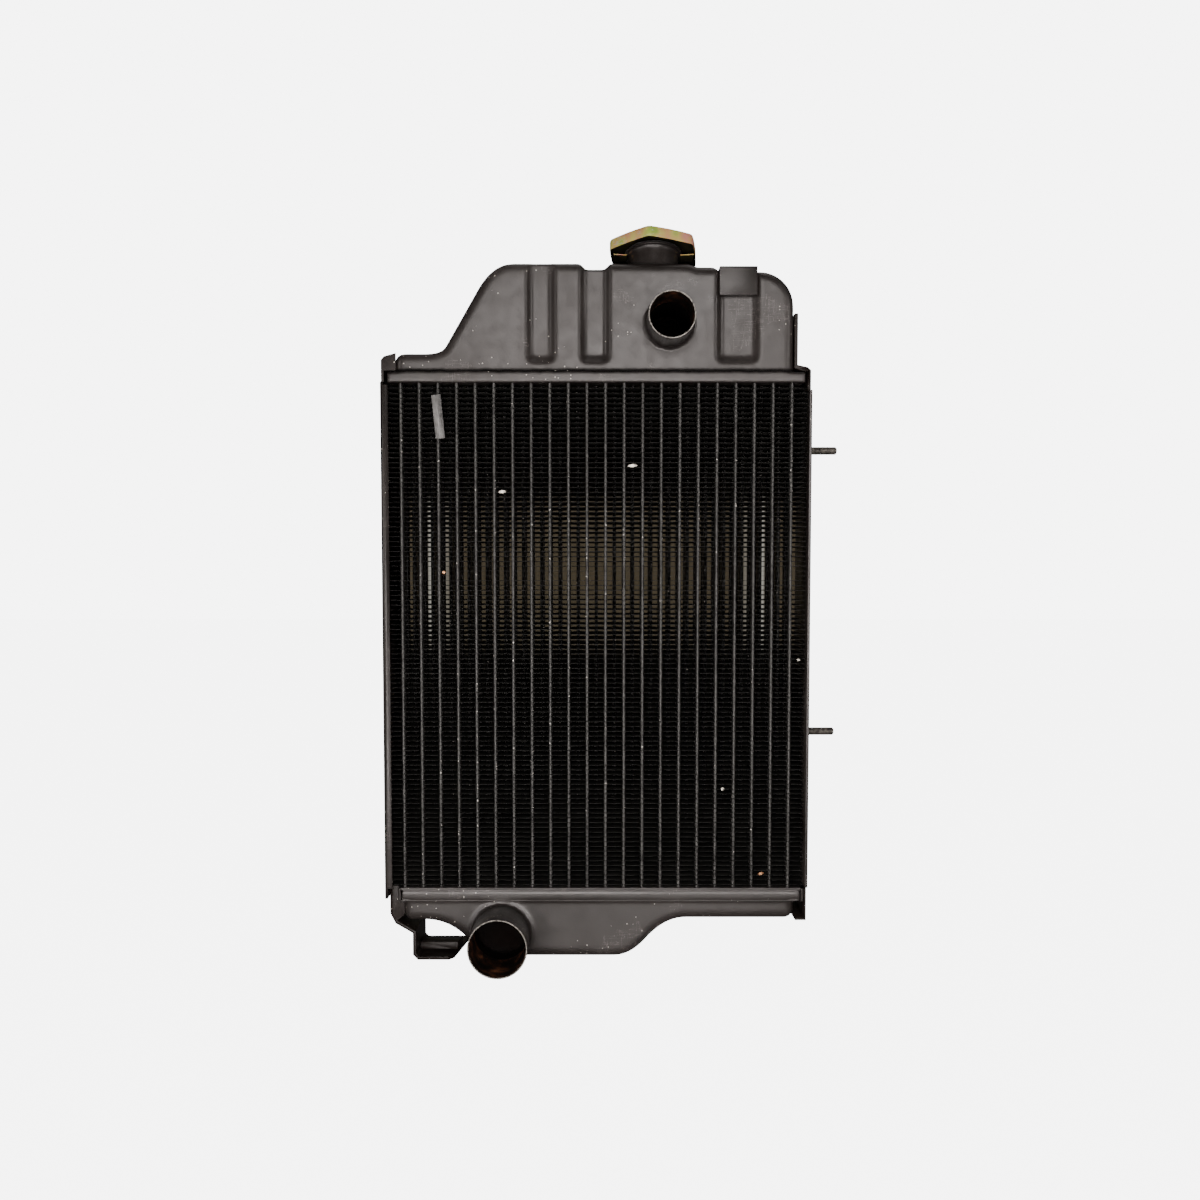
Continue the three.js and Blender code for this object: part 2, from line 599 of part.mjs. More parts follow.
addPart('lower_right_end_plate', lowerRightEndPlate(), 'paint');
addPart('upper_stud', plateStud(stud.heights[0]), 'steel');
addPart('lower_stud', plateStud(stud.heights[1]), 'steel');
addDrainTap();
addPart('core_tag', coreTag(), 'label');

export default radiator;
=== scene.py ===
# Radiator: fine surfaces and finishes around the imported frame. Lengths in the dictionaries are millimetres.
import json
import math

import bmesh
import bpy
from mathutils import Matrix, Vector, noise


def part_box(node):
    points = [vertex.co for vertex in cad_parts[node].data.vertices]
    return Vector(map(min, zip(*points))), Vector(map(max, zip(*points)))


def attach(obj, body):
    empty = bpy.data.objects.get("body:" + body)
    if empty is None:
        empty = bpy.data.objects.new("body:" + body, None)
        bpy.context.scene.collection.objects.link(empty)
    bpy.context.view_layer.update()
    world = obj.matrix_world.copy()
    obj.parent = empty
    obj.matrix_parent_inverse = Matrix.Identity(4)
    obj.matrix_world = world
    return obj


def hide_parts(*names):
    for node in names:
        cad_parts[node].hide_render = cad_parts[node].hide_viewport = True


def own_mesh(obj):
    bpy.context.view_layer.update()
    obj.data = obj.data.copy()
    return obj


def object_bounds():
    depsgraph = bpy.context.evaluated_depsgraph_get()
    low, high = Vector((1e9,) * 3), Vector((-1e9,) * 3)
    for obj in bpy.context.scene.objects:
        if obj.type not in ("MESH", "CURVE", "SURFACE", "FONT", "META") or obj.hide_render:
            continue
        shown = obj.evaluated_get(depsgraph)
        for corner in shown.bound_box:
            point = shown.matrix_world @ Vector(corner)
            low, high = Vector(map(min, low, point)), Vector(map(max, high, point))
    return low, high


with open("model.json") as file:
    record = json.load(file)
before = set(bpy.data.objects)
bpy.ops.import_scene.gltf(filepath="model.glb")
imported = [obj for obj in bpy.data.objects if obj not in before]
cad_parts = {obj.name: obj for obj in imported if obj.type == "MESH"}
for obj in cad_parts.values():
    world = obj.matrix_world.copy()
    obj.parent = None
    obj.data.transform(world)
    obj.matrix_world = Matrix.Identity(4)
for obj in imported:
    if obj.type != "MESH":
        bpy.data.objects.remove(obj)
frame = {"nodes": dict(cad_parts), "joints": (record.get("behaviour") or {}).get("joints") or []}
cadLow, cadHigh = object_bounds()
mm = 0.001
scene = bpy.context.scene
print("frame loaded:", len(frame["nodes"]), "nodes")

# shared effects, built once as node groups


def newTree(name, inputs, outputs):
    tree = bpy.data.node_groups.new(name, "ShaderNodeTree")
    for title, kind, value in inputs:
        socket = tree.interface.new_socket(title, in_out="INPUT", socket_type=kind)
        socket.default_value = value
    for title, kind in outputs:
        tree.interface.new_socket(title, in_out="OUTPUT", socket_type=kind)
    return tree, tree.nodes.new("NodeGroupInput"), tree.nodes.new("NodeGroupOutput")


def addNode(tree, kind, links=None, **values):
    node = tree.nodes.new(kind)
    for key, value in values.items():
        setattr(node, key, value)
    for key, source in (links or {}).items():
        if isinstance(source, bpy.types.NodeSocket):
            tree.links.new(source, node.inputs[key])
        else:
            node.inputs[key].default_value = source
    return node


def objectPoint(tree):
    return tree.nodes.new("ShaderNodeTexCoord").outputs["Object"]


def ranged(tree, source, low, high, newLow=0.0, newHigh=1.0):
    links = {"Value": source, "From Min": low, "From Max": high, "To Min": newLow, "To Max": newHigh}
    return addNode(tree, "ShaderNodeMapRange", links).outputs["Result"]


def maths(tree, operation, a, b):
    return addNode(tree, "ShaderNodeMath", {0: a, 1: b}, operation=operation).outputs[0]


def mixedColor(tree, factor, a, b):
    return addNode(tree, "ShaderNodeMixRGB", {"Fac": factor, "Color1": a, "Color2": b}).outputs["Color"]


def cloudGroup():
    # slow patches, from 0 to 1, for sheen and tint that change over a surface
    tree, given, result = newTree(
        "cloudPatches", [("Scale", "NodeSocketFloat", 12.0), ("Detail", "NodeSocketFloat", 4.0)],
        [("Value", "NodeSocketFloat")])
    texture = addNode(tree, "ShaderNodeTexNoise", {
        "Vector": objectPoint(tree), "Scale": given.outputs["Scale"], "Detail": given.outputs["Detail"]})
    tree.links.new(ranged(tree, texture.outputs[0], 0.32, 0.68), result.inputs["Value"])
    return tree


def fleckGroup():
    # small chips and spatter: round cells, kept where the cell's own colour is high
    tree, given, result = newTree(
        "paintFlecks", [("Scale", "NodeSocketFloat", 260.0), ("Size", "NodeSocketFloat", 0.25),
                        ("Keep", "NodeSocketFloat", 0.97)], [("Mask", "NodeSocketFloat")])
    cells = addNode(tree, "ShaderNodeTexVoronoi",
                    {"Vector": objectPoint(tree), "Scale": given.outputs["Scale"]})
    near = maths(tree, "LESS_THAN", cells.outputs["Distance"], given.outputs["Size"])
    split = addNode(tree, "ShaderNodeSeparateColor", {"Color": cells.outputs["Color"]})
    kept = maths(tree, "GREATER_THAN", split.outputs[0], given.outputs["Keep"])
    zones = addNode(tree, "ShaderNodeTexNoise", {"Vector": objectPoint(tree), "Scale": 14.0})
    busy = maths(tree, "GREATER_THAN", zones.outputs[0], 0.53)
    chosen = maths(tree, "MULTIPLY", near, kept)
    tree.links.new(maths(tree, "MULTIPLY", chosen, busy), result.inputs["Mask"])
    return tree


def scratchGroup():
    # long thin rubs that run mostly one way
    tree, given, result = newTree(
        "longScratches", [("Scale", "NodeSocketVector", (1.0, 1.0, 1.0)), ("Keep", "NodeSocketFloat", 0.6)],
        [("Mask", "NodeSocketFloat")])
    stretched = addNode(tree, "ShaderNodeMapping",
                        {"Vector": objectPoint(tree), "Scale": given.outputs["Scale"]})
    fine = addNode(tree, "ShaderNodeTexNoise",
                   {"Vector": stretched.outputs[0], "Scale": 1.0, "Detail": 3.0})
    line = maths(tree, "ABSOLUTE", maths(tree, "SUBTRACT", fine.outputs[0], 0.5), 0.0)
    thin = maths(tree, "LESS_THAN", line, 0.006)
    zones = addNode(tree, "ShaderNodeTexNoise", {"Vector": objectPoint(tree), "Scale": 22.0, "Detail": 3.0})
    worn = maths(tree, "GREATER_THAN", zones.outputs[0], given.outputs["Keep"])
    tree.links.new(maths(tree, "MULTIPLY", thin, worn), result.inputs["Mask"])
    return tree


def grainGroup():
    # orange peel and fine pits, as a height
    tree, given, result = newTree(
        "surfaceGrain", [("Scale", "NodeSocketFloat", 900.0)], [("Height", "NodeSocketFloat")])
    texture = addNode(tree, "ShaderNodeTexNoise",
                      {"Vector": objectPoint(tree), "Scale": given.outputs["Scale"], "Detail": 2.0})
    tree.links.new(texture.outputs[0], result.inputs["Height"])
    return tree


def heightBandGroup():
    # 1 close to one height and 0 away from it, with a ragged edge
    tree, given, result = newTree(
        "heightBand", [("Height", "NodeSocketFloat", 0.5), ("Width", "NodeSocketFloat", 0.004)],
        [("Mask", "NodeSocketFloat")])
    split = addNode(tree, "ShaderNodeSeparateXYZ", {0: objectPoint(tree)})
    rough = addNode(tree, "ShaderNodeTexNoise", {"Vector": objectPoint(tree), "Scale": 90.0, "Detail": 2.0})
    ragged = ranged(tree, rough.outputs[0], 0.3, 0.7, -0.0008, 0.0008)
    shifted = maths(tree, "ADD", split.outputs[2], ragged)
    away = maths(tree, "ABSOLUTE", maths(tree, "SUBTRACT", shifted, given.outputs["Height"]), 0.0)
    tree.links.new(ranged(tree, away, given.outputs["Width"], 0.0), result.inputs["Mask"])
    return tree


effects = {"cloud": cloudGroup(), "fleck": fleckGroup(), "scratch": scratchGroup(), "grain": grainGroup(),
           "band": heightBandGroup()}


def placed(tree, effect, **values):
    node = tree.nodes.new("ShaderNodeGroup")
    node.node_tree = effects[effect]
    for key, value in values.items():
        node.inputs[key].default_value = value
    return node.outputs[0]


# finishes


def finish(name, metallic=0.0, specular=0.5):
    material = bpy.data.materials.new(name)
    material.use_nodes = True
    tree = material.node_tree
    shader = tree.nodes["Principled BSDF"]
    shader.inputs["Metallic"].default_value = metallic
    shader.inputs["Specular IOR Level"].default_value = specular
    return material, tree, shader


def bump(tree, shader, height, strength, distance):
    links = {"Height": height, "Strength": strength, "Distance": distance}
    tree.links.new(addNode(tree, "ShaderNodeBump", links).outputs[0], shader.inputs["Normal"])


blackPaint = {
    "dark": (0.014, 0.0115, 0.0105, 1), "pale": (0.028, 0.0235, 0.0215, 1), "chip": (0.42, 0.40, 0.36, 1),
    # the near-black tone after the rub tone, and the width at the end, draw a painted shade line
    "rub": (0.085, 0.077, 0.073, 1), "paintedShadeLine": (0.003, 0.003, 0.003, 1), "smooth": 0.31, "rough": 0.47,
    "specular": 0.62, "rubScales": ((30.0, 30.0, 300.0), (260.0, 90.0, 24.0)), "paintedShadeLineWidth": 0.0035,
}


def paintFinish(name, fleckKeep=0.84, scratchKeep=0.6, lift=0.0, paintedShadeLine=None,
                specular=blackPaint["specular"]):
    # lift moves both paint tones; the optional height, in metres, places a painted shade line: a ragged
    # near-black, less glossy band that stands for the shadow just above the upper header rim
    material, tree, shader = finish(name, specular=specular)
    patches = placed(tree, "cloud", Scale=11.0, Detail=5.0)
    fine = placed(tree, "cloud", Scale=95.0, Detail=3.0)
    lifted = [tuple(channel + lift for channel in blackPaint[tone][:3]) + (1,) for tone in ("dark", "pale")]
    base = mixedColor(tree, patches, lifted[0], lifted[1])
    for scale in blackPaint["rubScales"]:
        rubs = placed(tree, "scratch", Scale=scale, Keep=scratchKeep)
        base = mixedColor(tree, rubs, base, blackPaint["rub"])
    # painted shade: a dark, less glossy band across the tank face at one height, for the shadow in the gap
    # above the rim
    if paintedShadeLine:
        near = placed(tree, "band", Height=paintedShadeLine, Width=blackPaint["paintedShadeLineWidth"])
        base = mixedColor(tree, near, base, blackPaint["paintedShadeLine"])
        tree.links.new(ranged(tree, near, 0, 1, specular, 0.05), shader.inputs["Specular IOR Level"])
    chips = placed(tree, "fleck", Scale=330.0, Size=0.2, Keep=fleckKeep)
    tree.links.new(mixedColor(tree, chips, base, blackPaint["chip"]), shader.inputs["Base Color"])
    sheen = maths(tree, "ADD", ranged(tree, patches, 0, 1, blackPaint["smooth"], blackPaint["rough"]),
                  ranged(tree, fine, 0, 1, -0.05, 0.05))
    tree.links.new(sheen, shader.inputs["Roughness"])
    bump(tree, shader, placed(tree, "grain", Scale=750.0), 0.1, 0.0004)
    return material


def patchyFinish(name, tones, roughness, scale, detail=3.0, metallic=0.0, specular=0.5):
    # two tones that drift into each other, with the roughness following them
    material, tree, shader = finish(name, metallic, specular)
    patches = placed(tree, "cloud", Scale=scale, Detail=detail)
    tree.links.new(mixedColor(tree, patches, *tones), shader.inputs["Base Color"])
    tree.links.new(ranged(tree, patches, 0, 1, *roughness), shader.inputs["Roughness"])
    return material


def tubeFinish():
    # thin paint over bright metal on the noses, with darker runs
    material, tree, shader = finish("tube_worn_paint", metallic=0.35)
    patches = placed(tree, "cloud", Scale=120.0, Detail=4.0)
    base = mixedColor(tree, patches, (0.02, 0.02, 0.019, 1), (0.075, 0.075, 0.072, 1))
    chips = placed(tree, "fleck", Scale=420.0, Size=0.3, Keep=0.9)
    tree.links.new(mixedColor(tree, chips, base, (0.5, 0.48, 0.44, 1)), shader.inputs["Base Color"])
    tree.links.new(ranged(tree, patches, 0, 1, 0.35, 0.55), shader.inputs["Roughness"])
    return material


def zincFinish():
    # yellow passivated zinc: gold that drifts to green and pink
    material, tree, shader = finish("yellow_zinc", metallic=0.55)
    drift = placed(tree, "cloud", Scale=48.0, Detail=1.5)
    ramp = tree.nodes.new("ShaderNodeValToRGB")
    tree.links.new(drift, ramp.inputs["Fac"])
    tones = [(0.0, (0.42, 0.60, 0.10, 1)), (0.3, (0.80, 0.70, 0.20, 1)), (0.55, (0.86, 0.54, 0.22, 1)),
             (0.8, (0.88, 0.38, 0.30, 1)), (1.0, (0.66, 0.72, 0.24, 1))]
    while len(ramp.color_ramp.elements) < len(tones):
        ramp.color_ramp.elements.new(0.5)
    for element, (place, tone) in zip(ramp.color_ramp.elements, tones):
        element.position, element.color = place, tone
    rubs = placed(tree, "scratch", Scale=(60.0, 60.0, 400.0), Keep=0.55)
    tree.links.new(mixedColor(tree, rubs, ramp.outputs["Color"], (0.75, 0.72, 0.66, 1)),
                   shader.inputs["Base Color"])
    tree.links.new(ranged(tree, placed(tree, "cloud", Scale=70.0, Detail=3.0), 0, 1, 0.34, 0.5),
                   shader.inputs["Roughness"])
    bump(tree, shader, placed(tree, "grain", Scale=1200.0), 0.08, 0.0003)
    return material


def copperFinish():
    # inside of the pipes: overspray that thins to stained copper further in
    material, tree, shader = finish("pipe_inside", metallic=0.5)
    patches = placed(tree, "cloud", Scale=55.0, Detail=6.0)
    streaks = placed(tree, "cloud", Scale=140.0, Detail=2.0)
    amount = maths(tree, "MULTIPLY", maths(tree, "POWER", patches, 2.5), streaks)
    tree.links.new(mixedColor(tree, amount, (0.012, 0.009, 0.008, 1), (0.34, 0.13, 0.06, 1)),
                   shader.inputs["Base Color"])
    tree.links.new(ranged(tree, patches, 0, 1, 0.35, 0.6), shader.inputs["Roughness"])
    return material


def plainMetal(name, dark, pale, low, high, scale=60.0, metallic=1.0):
    material, tree, shader = finish(name, metallic=metallic)
    patches = placed(tree, "cloud", Scale=scale, Detail=4.0)
    base = mixedColor(tree, patches, dark, pale)
    rubs = placed(tree, "scratch", Scale=(200.0, 200.0, 60.0), Keep=0.5)
    tree.links.new(mixedColor(tree, rubs, base, pale), shader.inputs["Base Color"])
    tree.links.new(ranged(tree, patches, 0, 1, low, high), shader.inputs["Roughness"])
    bump(tree, shader, placed(tree, "grain", Scale=1500.0), 0.06, 0.0002)
    return material


def rubberFinish():
    material, tree, shader = finish("seal_rubber")
    patches = placed(tree, "cloud", Scale=80.0, Detail=4.0)
    tree.links.new(mixedColor(tree, patches, (0.012, 0.012, 0.012, 1), (0.03, 0.03, 0.03, 1)),
                   shader.inputs["Base Color"])
    tree.links.new(ranged(tree, patches, 0, 1, 0.65, 0.85), shader.inputs["Roughness"])
    bump(tree, shader, placed(tree, "grain", Scale=2500.0), 0.2, 0.0003)
    return material


finishes = {
    "paint": paintFinish("black_paint"),
    # the upper tank's paint carries a painted shade line just above the upper header rim
    "paintTop": paintFinish("black_paint_upper_shade_line", paintedShadeLine=0.5735),
    "paintStrap": paintFinish("black_paint_strap", lift=-0.003, specular=0.45),
    "paintDull": paintFinish("black_paint_dull", fleckKeep=0.9, lift=-0.009, specular=0.2),
    "rim": paintFinish("black_paint_scuffed", fleckKeep=0.8, scratchKeep=0.5, lift=0.012),
    "fins": patchyFinish("fin_black", ((0.009, 0.009, 0.0085, 1), (0.024, 0.024, 0.022, 1)), (0.5, 0.7),
                         40.0, detail=4.0, specular=0.3),
    "tubes": tubeFinish(),
    "zinc": zincFinish(),
    # the same zinc made near-black: painted shade for the cap's underside and inner walls
    "zincPaintedShade": patchyFinish("zinc_painted_shade", ((0.006, 0.006, 0.003, 1), (0.03, 0.028, 0.012, 1)),
                              (0.5, 0.7), 60.0, metallic=0.3, specular=0.2),
    "pipeInside": copperFinish(),
    # near-black painted shade for the inside of the tanks, seen through the pipe holes
    "paintedShadeInside": patchyFinish("tank_inside_painted_shade", ((0.001, 0.0008, 0.0007, 1), (0.004, 0.002, 0.0015, 1)),
                           (0.7, 0.9), 30.0, specular=0.1),
    "lip": plainMetal("bare_lip", (0.03, 0.028, 0.025, 1), (0.42, 0.40, 0.36, 1), 0.35, 0.5, 420.0, 0.6),
    "steel": plainMetal("bright_steel", (0.42, 0.41, 0.39, 1), (0.62, 0.61, 0.59, 1), 0.25, 0.4),
    "stud": plainMetal("black_thread", (0.03, 0.028, 0.026, 1), (0.16, 0.15, 0.13, 1), 0.35, 0.5, 260.0,
                       0.6),
    "brass": plainMetal("turned_brass", (0.52, 0.36, 0.14, 1), (0.68, 0.50, 0.22, 1), 0.25, 0.42),
    "rubber": rubberFinish(),
    "tag": plainMetal("dull_strip", (0.12, 0.12, 0.118, 1), (0.22, 0.22, 0.215, 1), 0.45, 0.6, 150.0, 0.4),
    "sliver": plainMetal("bare_fin", (0.45, 0.42, 0.36, 1), (0.75, 0.72, 0.64, 1), 0.3, 0.5, 200.0),
    "copperSliver": plainMetal("bare_copper", (0.42, 0.20, 0.10, 1), (0.70, 0.38, 0.20, 1), 0.3, 0.5,
                               200.0),
}
print("finishes made:", len(finishes))

# mesh helpers


def around(radius, turn, height):
    return Vector((radius * math.cos(turn) * mm, radius * math.sin(turn) * mm, height * mm))


def linked(name, mesh, angle=35):
    mesh.shade_smooth()
    mesh.set_sharp_from_angle(angle=math.radians(angle))
    piece = bpy.data.objects.new(name, mesh)
    scene.collection.objects.link(piece)
    return piece


def fromRings(name, rings, closed=True, caps=False, angle=35):
    # rings of equal length joined by four-sided faces
    mesh = bpy.data.meshes.new(name)
    net = bmesh.new()
    rows = [[net.verts.new(point) for point in ring] for ring in rings]
    pairs = list(zip(rows, rows[1:])) + ([(rows[-1], rows[0])] if closed else [])
    for first, second in pairs:
        count = len(first)
        for i in range(count):
            net.faces.new((first[i], first[(i + 1) % count], second[(i + 1) % count], second[i]))
    if caps:
        net.faces.new(rows[0])
        net.faces.new(rows[-1])
    bmesh.ops.remove_doubles(net, verts=net.verts, dist=1e-6)
    bmesh.ops.recalc_face_normals(net, faces=net.faces)
    net.to_mesh(mesh)
    net.free()
    return linked(name, mesh, angle)


def hullFrom(name, points):
    mesh = bpy.data.meshes.new(name)
    net = bmesh.new()
    for point in points:
        net.verts.new(point)
    bmesh.ops.convex_hull(net, input=net.verts)
    bmesh.ops.recalc_face_normals(net, faces=net.faces)
    net.to_mesh(mesh)
    net.free()
    return linked(name, mesh)


def settledMesh(piece):
    graph = bpy.context.evaluated_depsgraph_get()
    fine = bpy.data.meshes.new_from_object(piece.evaluated_get(graph))
    piece.modifiers.clear()
    piece.data = fine


def cut(piece, cutters):
    for i, cutter in enumerate(cutters):
        modifier = piece.modifiers.new(f"cut{i}", "BOOLEAN")
        modifier.operation = "DIFFERENCE"
        modifier.solver = "EXACT"
        modifier.object = cutter
    settledMesh(piece)
    for cutter in cutters:
        bpy.data.objects.remove(cutter)


def pressed(piece, voxel, rounds):
    # an even skin of small faces, then relaxed, so every edge gets a pressed radius
    modifier = piece.modifiers.new("skin", "REMESH")
    modifier.mode = "VOXEL"
    modifier.voxel_size = voxel * mm
    relax = piece.modifiers.new("relax", "SMOOTH")
    relax.factor = 0.5
    relax.iterations = rounds
    settledMesh(piece)
    piece.data.shade_smooth()


def settle(piece, body, material, slot, *nodes):
    if not piece.data.materials:
        piece.data.materials.append(finishes[material])
    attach(piece, body)
    if nodes:
        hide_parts(*nodes)


def turnedPiece(name, profile, place, segments=96, closed=True, ripple=None, angle=35):
    # profile of (radius, distance along the axis); ripple(i, angle) adds to the radius
    rings = []
    for i, (radius, along) in enumerate(profile):
        ring = []
        for j in range(segments):
            turn = 2 * math.pi * j / segments
            grown = radius + (ripple(i, turn) if ripple else 0.0)
            ring.append(place @ around(grown, turn, along))
        rings.append(ring)
    return fromRings(name, rings, closed, angle=angle)


def paintFaces(piece, names, rule):
    # rule(face) says which of the named finishes a face takes
    piece.data.materials.clear()
    for name in names:
        piece.data.materials.append(finishes[name])
    for face in piece.data.polygons:
        face.material_index = rule(face)


def softened(node, material, width, segments=3):
    # a CAD piece keeps its shape and gets broken edges
    piece = frame["nodes"][node]
    weld = piece.modifiers.new("weld", "WELD")
    weld.merge_threshold = 1e-5
    if width:
        edges = piece.modifiers.new("edges", "BEVEL")
        edges.width = width * mm
        edges.segments = segments
        edges.limit_method = "ANGLE"
        edges.angle_limit = math.radians(40)
        edges.harden_normals = True
    piece.data.shade_smooth()
    piece.data.set_sharp_from_angle(angle=math.radians(35))
    piece.data.materials.clear()
    piece.data.materials.append(finishes[material])
    return piece


# camera, stage and lights

view = {"lens": 35.4, "sensor": 36, "place": (0, -1.181, 0.378), "down": 3.27, "shift": (0.0031, 0.035)}


def addCamera():
    data = bpy.data.cameras.new("camera")
    data.lens, data.sensor_width = view["lens"], view["sensor"]
    data.shift_x, data.shift_y = view["shift"]
    camera = bpy.data.objects.new("camera", data)
    camera.location = view["place"]
    camera.rotation_euler = (math.radians(90 - view["down"]), 0, 0)
    scene.collection.objects.link(camera)
    scene.camera = camera


stage = {"floor": 9000, "floorTone": (0.3, 0.3, 0.3, 1), "glow": 6.2}
# fade: metres from the middle where the glow starts and stops falling, and what is left of it;
# edge: metres from the middle where the paler band rises and drops
rearCard = {
    "half": (430, 190), "place": (0, 1200, 375), "tone": (0.10, 0.082, 0.048, 1),
    "middle": 0.17, "fade": (0.08, 0.26, 0.4),
    "edgeTone": (0.5, 0.5, 0.46, 1), "edgeLight": 0.5, "edge": (0.272, 0.325, 0.335, 0.345),
}


def addPlane(name, corners, tone, roughness=0.8):
    mesh = bpy.data.meshes.new(name)
    mesh.from_pydata(corners, [], [(0, 1, 2, 3)])
    piece = bpy.data.objects.new(name, mesh)
    scene.collection.objects.link(piece)
    material = bpy.data.materials.new(name)
    material.use_nodes = True
    shader = material.node_tree.nodes["Principled BSDF"]
    shader.inputs["Base Color"].default_value = tone
    shader.inputs["Roughness"].default_value = roughness
    mesh.materials.append(material)
    return piece, shader


def addStage():
    reach = stage["floor"] * mm
    low = cadLow.z - 0.001
    corners = [(-reach, -reach, low), (reach, -reach, low), (reach, reach, low), (-reach, reach, low)]
    floor, shader = addPlane("floor", corners, stage["floorTone"])
    # the floor looks pale to the eye and throws little light back up
    tree = floor.data.materials[0].node_tree
    path = tree.nodes.new("ShaderNodeLightPath")
    glow = addNode(tree, "ShaderNodeEmission", {"Color": (1, 1, 1, 1), "Strength": stage["glow"]})
    both = addNode(tree, "ShaderNodeAddShader", {0: shader.outputs[0], 1: glow.outputs[0]})
    mix = addNode(tree, "ShaderNodeMixShader",
                  {0: path.outputs["Is Camera Ray"], 1: shader.outputs[0], 2: both.outputs[0]})
    tree.links.new(mix.outputs[0], tree.nodes["Material Output"].inputs["Surface"])


def addRearCard():
    # a dim brown card far behind, seen only through the gaps of the core: it stands in for the shade inside
    # the core, with a painted glow that is strongest in the middle and a paler glowing band of painted light
    # at its sides
    halfWidth, halfHeight = (size * mm for size in rearCard["half"])
    x, y, z = (size * mm for size in rearCard["place"])
    left, right, low, high = x - halfWidth, x + halfWidth, z - halfHeight, z + halfHeight
    corners = [(left, y, low), (right, y, low), (right, y, high), (left, y, high)]
    piece, shader = addPlane("rear_shade_card", corners, rearCard["tone"])
    tree = piece.data.materials[0].node_tree
    split = addNode(tree, "ShaderNodeSeparateXYZ", {0: objectPoint(tree)})
    away = maths(tree, "ABSOLUTE", split.outputs[0], 0.0)
    near, far, least = rearCard["fade"]
    fall = maths(tree, "MULTIPLY", ranged(tree, away, near, far, 1.0, least), rearCard["middle"])
    riseStart, riseEnd, dropStart, dropEnd = rearCard["edge"]
    rise = ranged(tree, away, riseStart, riseEnd)
    band = maths(tree, "MULTIPLY", rise, ranged(tree, away, dropStart, dropEnd, 1.0, 0.0))
    tree.links.new(mixedColor(tree, band, rearCard["tone"], rearCard["edgeTone"]),
                   shader.inputs["Emission Color"])
    lit = maths(tree, "MULTIPLY", band, rearCard["edgeLight"])
    tree.links.new(maths(tree, "ADD", fall, lit), shader.inputs["Emission Strength"])


lamps = [
    {"name": "front_box", "place": (0.05, -2.1, 0.85), "aim": (0, 0, 0.45), "size": (1.3, 0.8),
     "power": 23.5},
    {"name": "low_box", "place": (-0.1, -1.5, 0.0), "aim": (0, 0, 0.05), "size": (1.5, 0.4),
     "power": 37},
    {"name": "left_strip", "place": (-1.5, -0.9, 0.5), "aim": (0, 0, 0.4), "size": (0.3, 1.2),
     "power": 6},
    {"name": "right_strip", "place": (1.6, -1.3, 0.9), "aim": (0.05, 0, 0.6), "size": (0.5, 0.5),
     "power": 7},
    {"name": "top_box", "place": (0.3, 0.2, 2.4), "aim": (0, 0, 0.3), "size": (1.2, 1.2),
     "power": 5},
]
lampTone = (1.0, 0.93, 0.90)


def addLamps():
    for lamp in lamps:
        data = bpy.data.lights.new(lamp["name"], "AREA")
        data.shape = "RECTANGLE"
        data.size, data.size_y = lamp["size"]
        data.energy = lamp["power"]
        data.color = lampTone
        piece = bpy.data.objects.new(lamp["name"], data)
        piece.location = lamp["place"]
        aim = Vector(lamp["aim"]) - Vector(lamp["place"])
        piece.rotation_euler = aim.to_track_quat("-Z", "Y").to_euler()
        scene.collection.objects.link(piece)


surroundings = {"roomTone": (0.85, 0.9, 0.88, 1), "room": 0.07, "backdrop": 6.5}


def addWorld():
    # a pale backdrop for the eye, and a dimmer room for the reflections
    world = bpy.data.worlds.new("studio")
    world.use_nodes = True
    tree = world.node_tree
    room = tree.nodes["Background"]
    room.inputs["Color"].default_value = surroundings["roomTone"]
    room.inputs["Strength"].default_value = surroundings["room"]
    backdrop = addNode(tree, "ShaderNodeBackground",
                       {"Color": (1, 1, 1, 1), "Strength": surroundings["backdrop"]})
    path = tree.nodes.new("ShaderNodeLightPath")
    mix = addNode(tree, "ShaderNodeMixShader",
                  {0: path.outputs["Is Camera Ray"], 1: room.outputs[0], 2: backdrop.outputs[0]})
    tree.links.new(mix.outputs[0], tree.nodes["World Output"].inputs["Surface"])
    scene.world = world


addCamera()
addStage()
addRearCard()
addLamps()
addWorld()
print("camera, stage and lights made")

# tanks

pressing = {"voxel": 1.5, "rounds": 7, "rounding": 8.5, "steps": 6, "outlineStep": 2.0}

# outlines in X and Z: "to" is a straight run, "bend" a curve, "turn" an arc of centre, radius and angles
topTank = {
    "start": (-194.5, 563),
    "path": [("to", -194.5, 582), ("turn", -185.5, 582, 9, 180, 90), ("to", -166, 591),
             ("bend", -149.6, 591, -145.8, 597.5), ("to", -114.4, 651.8), ("bend", -100, 676.7, -80, 676.7),
             ("to", 88, 676.7), ("to", 97, 673.4), ("to", 114, 673.4), ("to", 157.2, 669),
             ("turn", 157.2, 636, 33, 90, 0), ("to", 190.2, 563)],
}
bottomTank = {
    "start": (195, 67),
    "path": [("to", 195, 47.3), ("turn", 186, 47.3, 9, 0, -90), ("to", 88.5, 38.3),
             ("bend", 67.8, 38.3, 49, 17), ("bend", 34, 0, 17.5, 0), ("to", -100, 0),
             ("bend", -111, 0, -128, 17.5), ("bend", -146, 36.2, -170, 36.2),
             ("to", -181, 36.2), ("turn", -181, 45.2, 9, 270, 180), ("to", -190, 67)],
}
ribs = {
    "depth": 5.5, "slope": 6.0, "foot": 581, "corner": 9, "lift": 3,
    "places": [{"left": -67.8, "right": -38.8, "top": 692, "dip": None},
               {"left": -16.3, "right": 13.9, "top": 692, "dip": 671},
               {"left": 115, "right": 157, "top": 692, "dip": 665.5}],
}


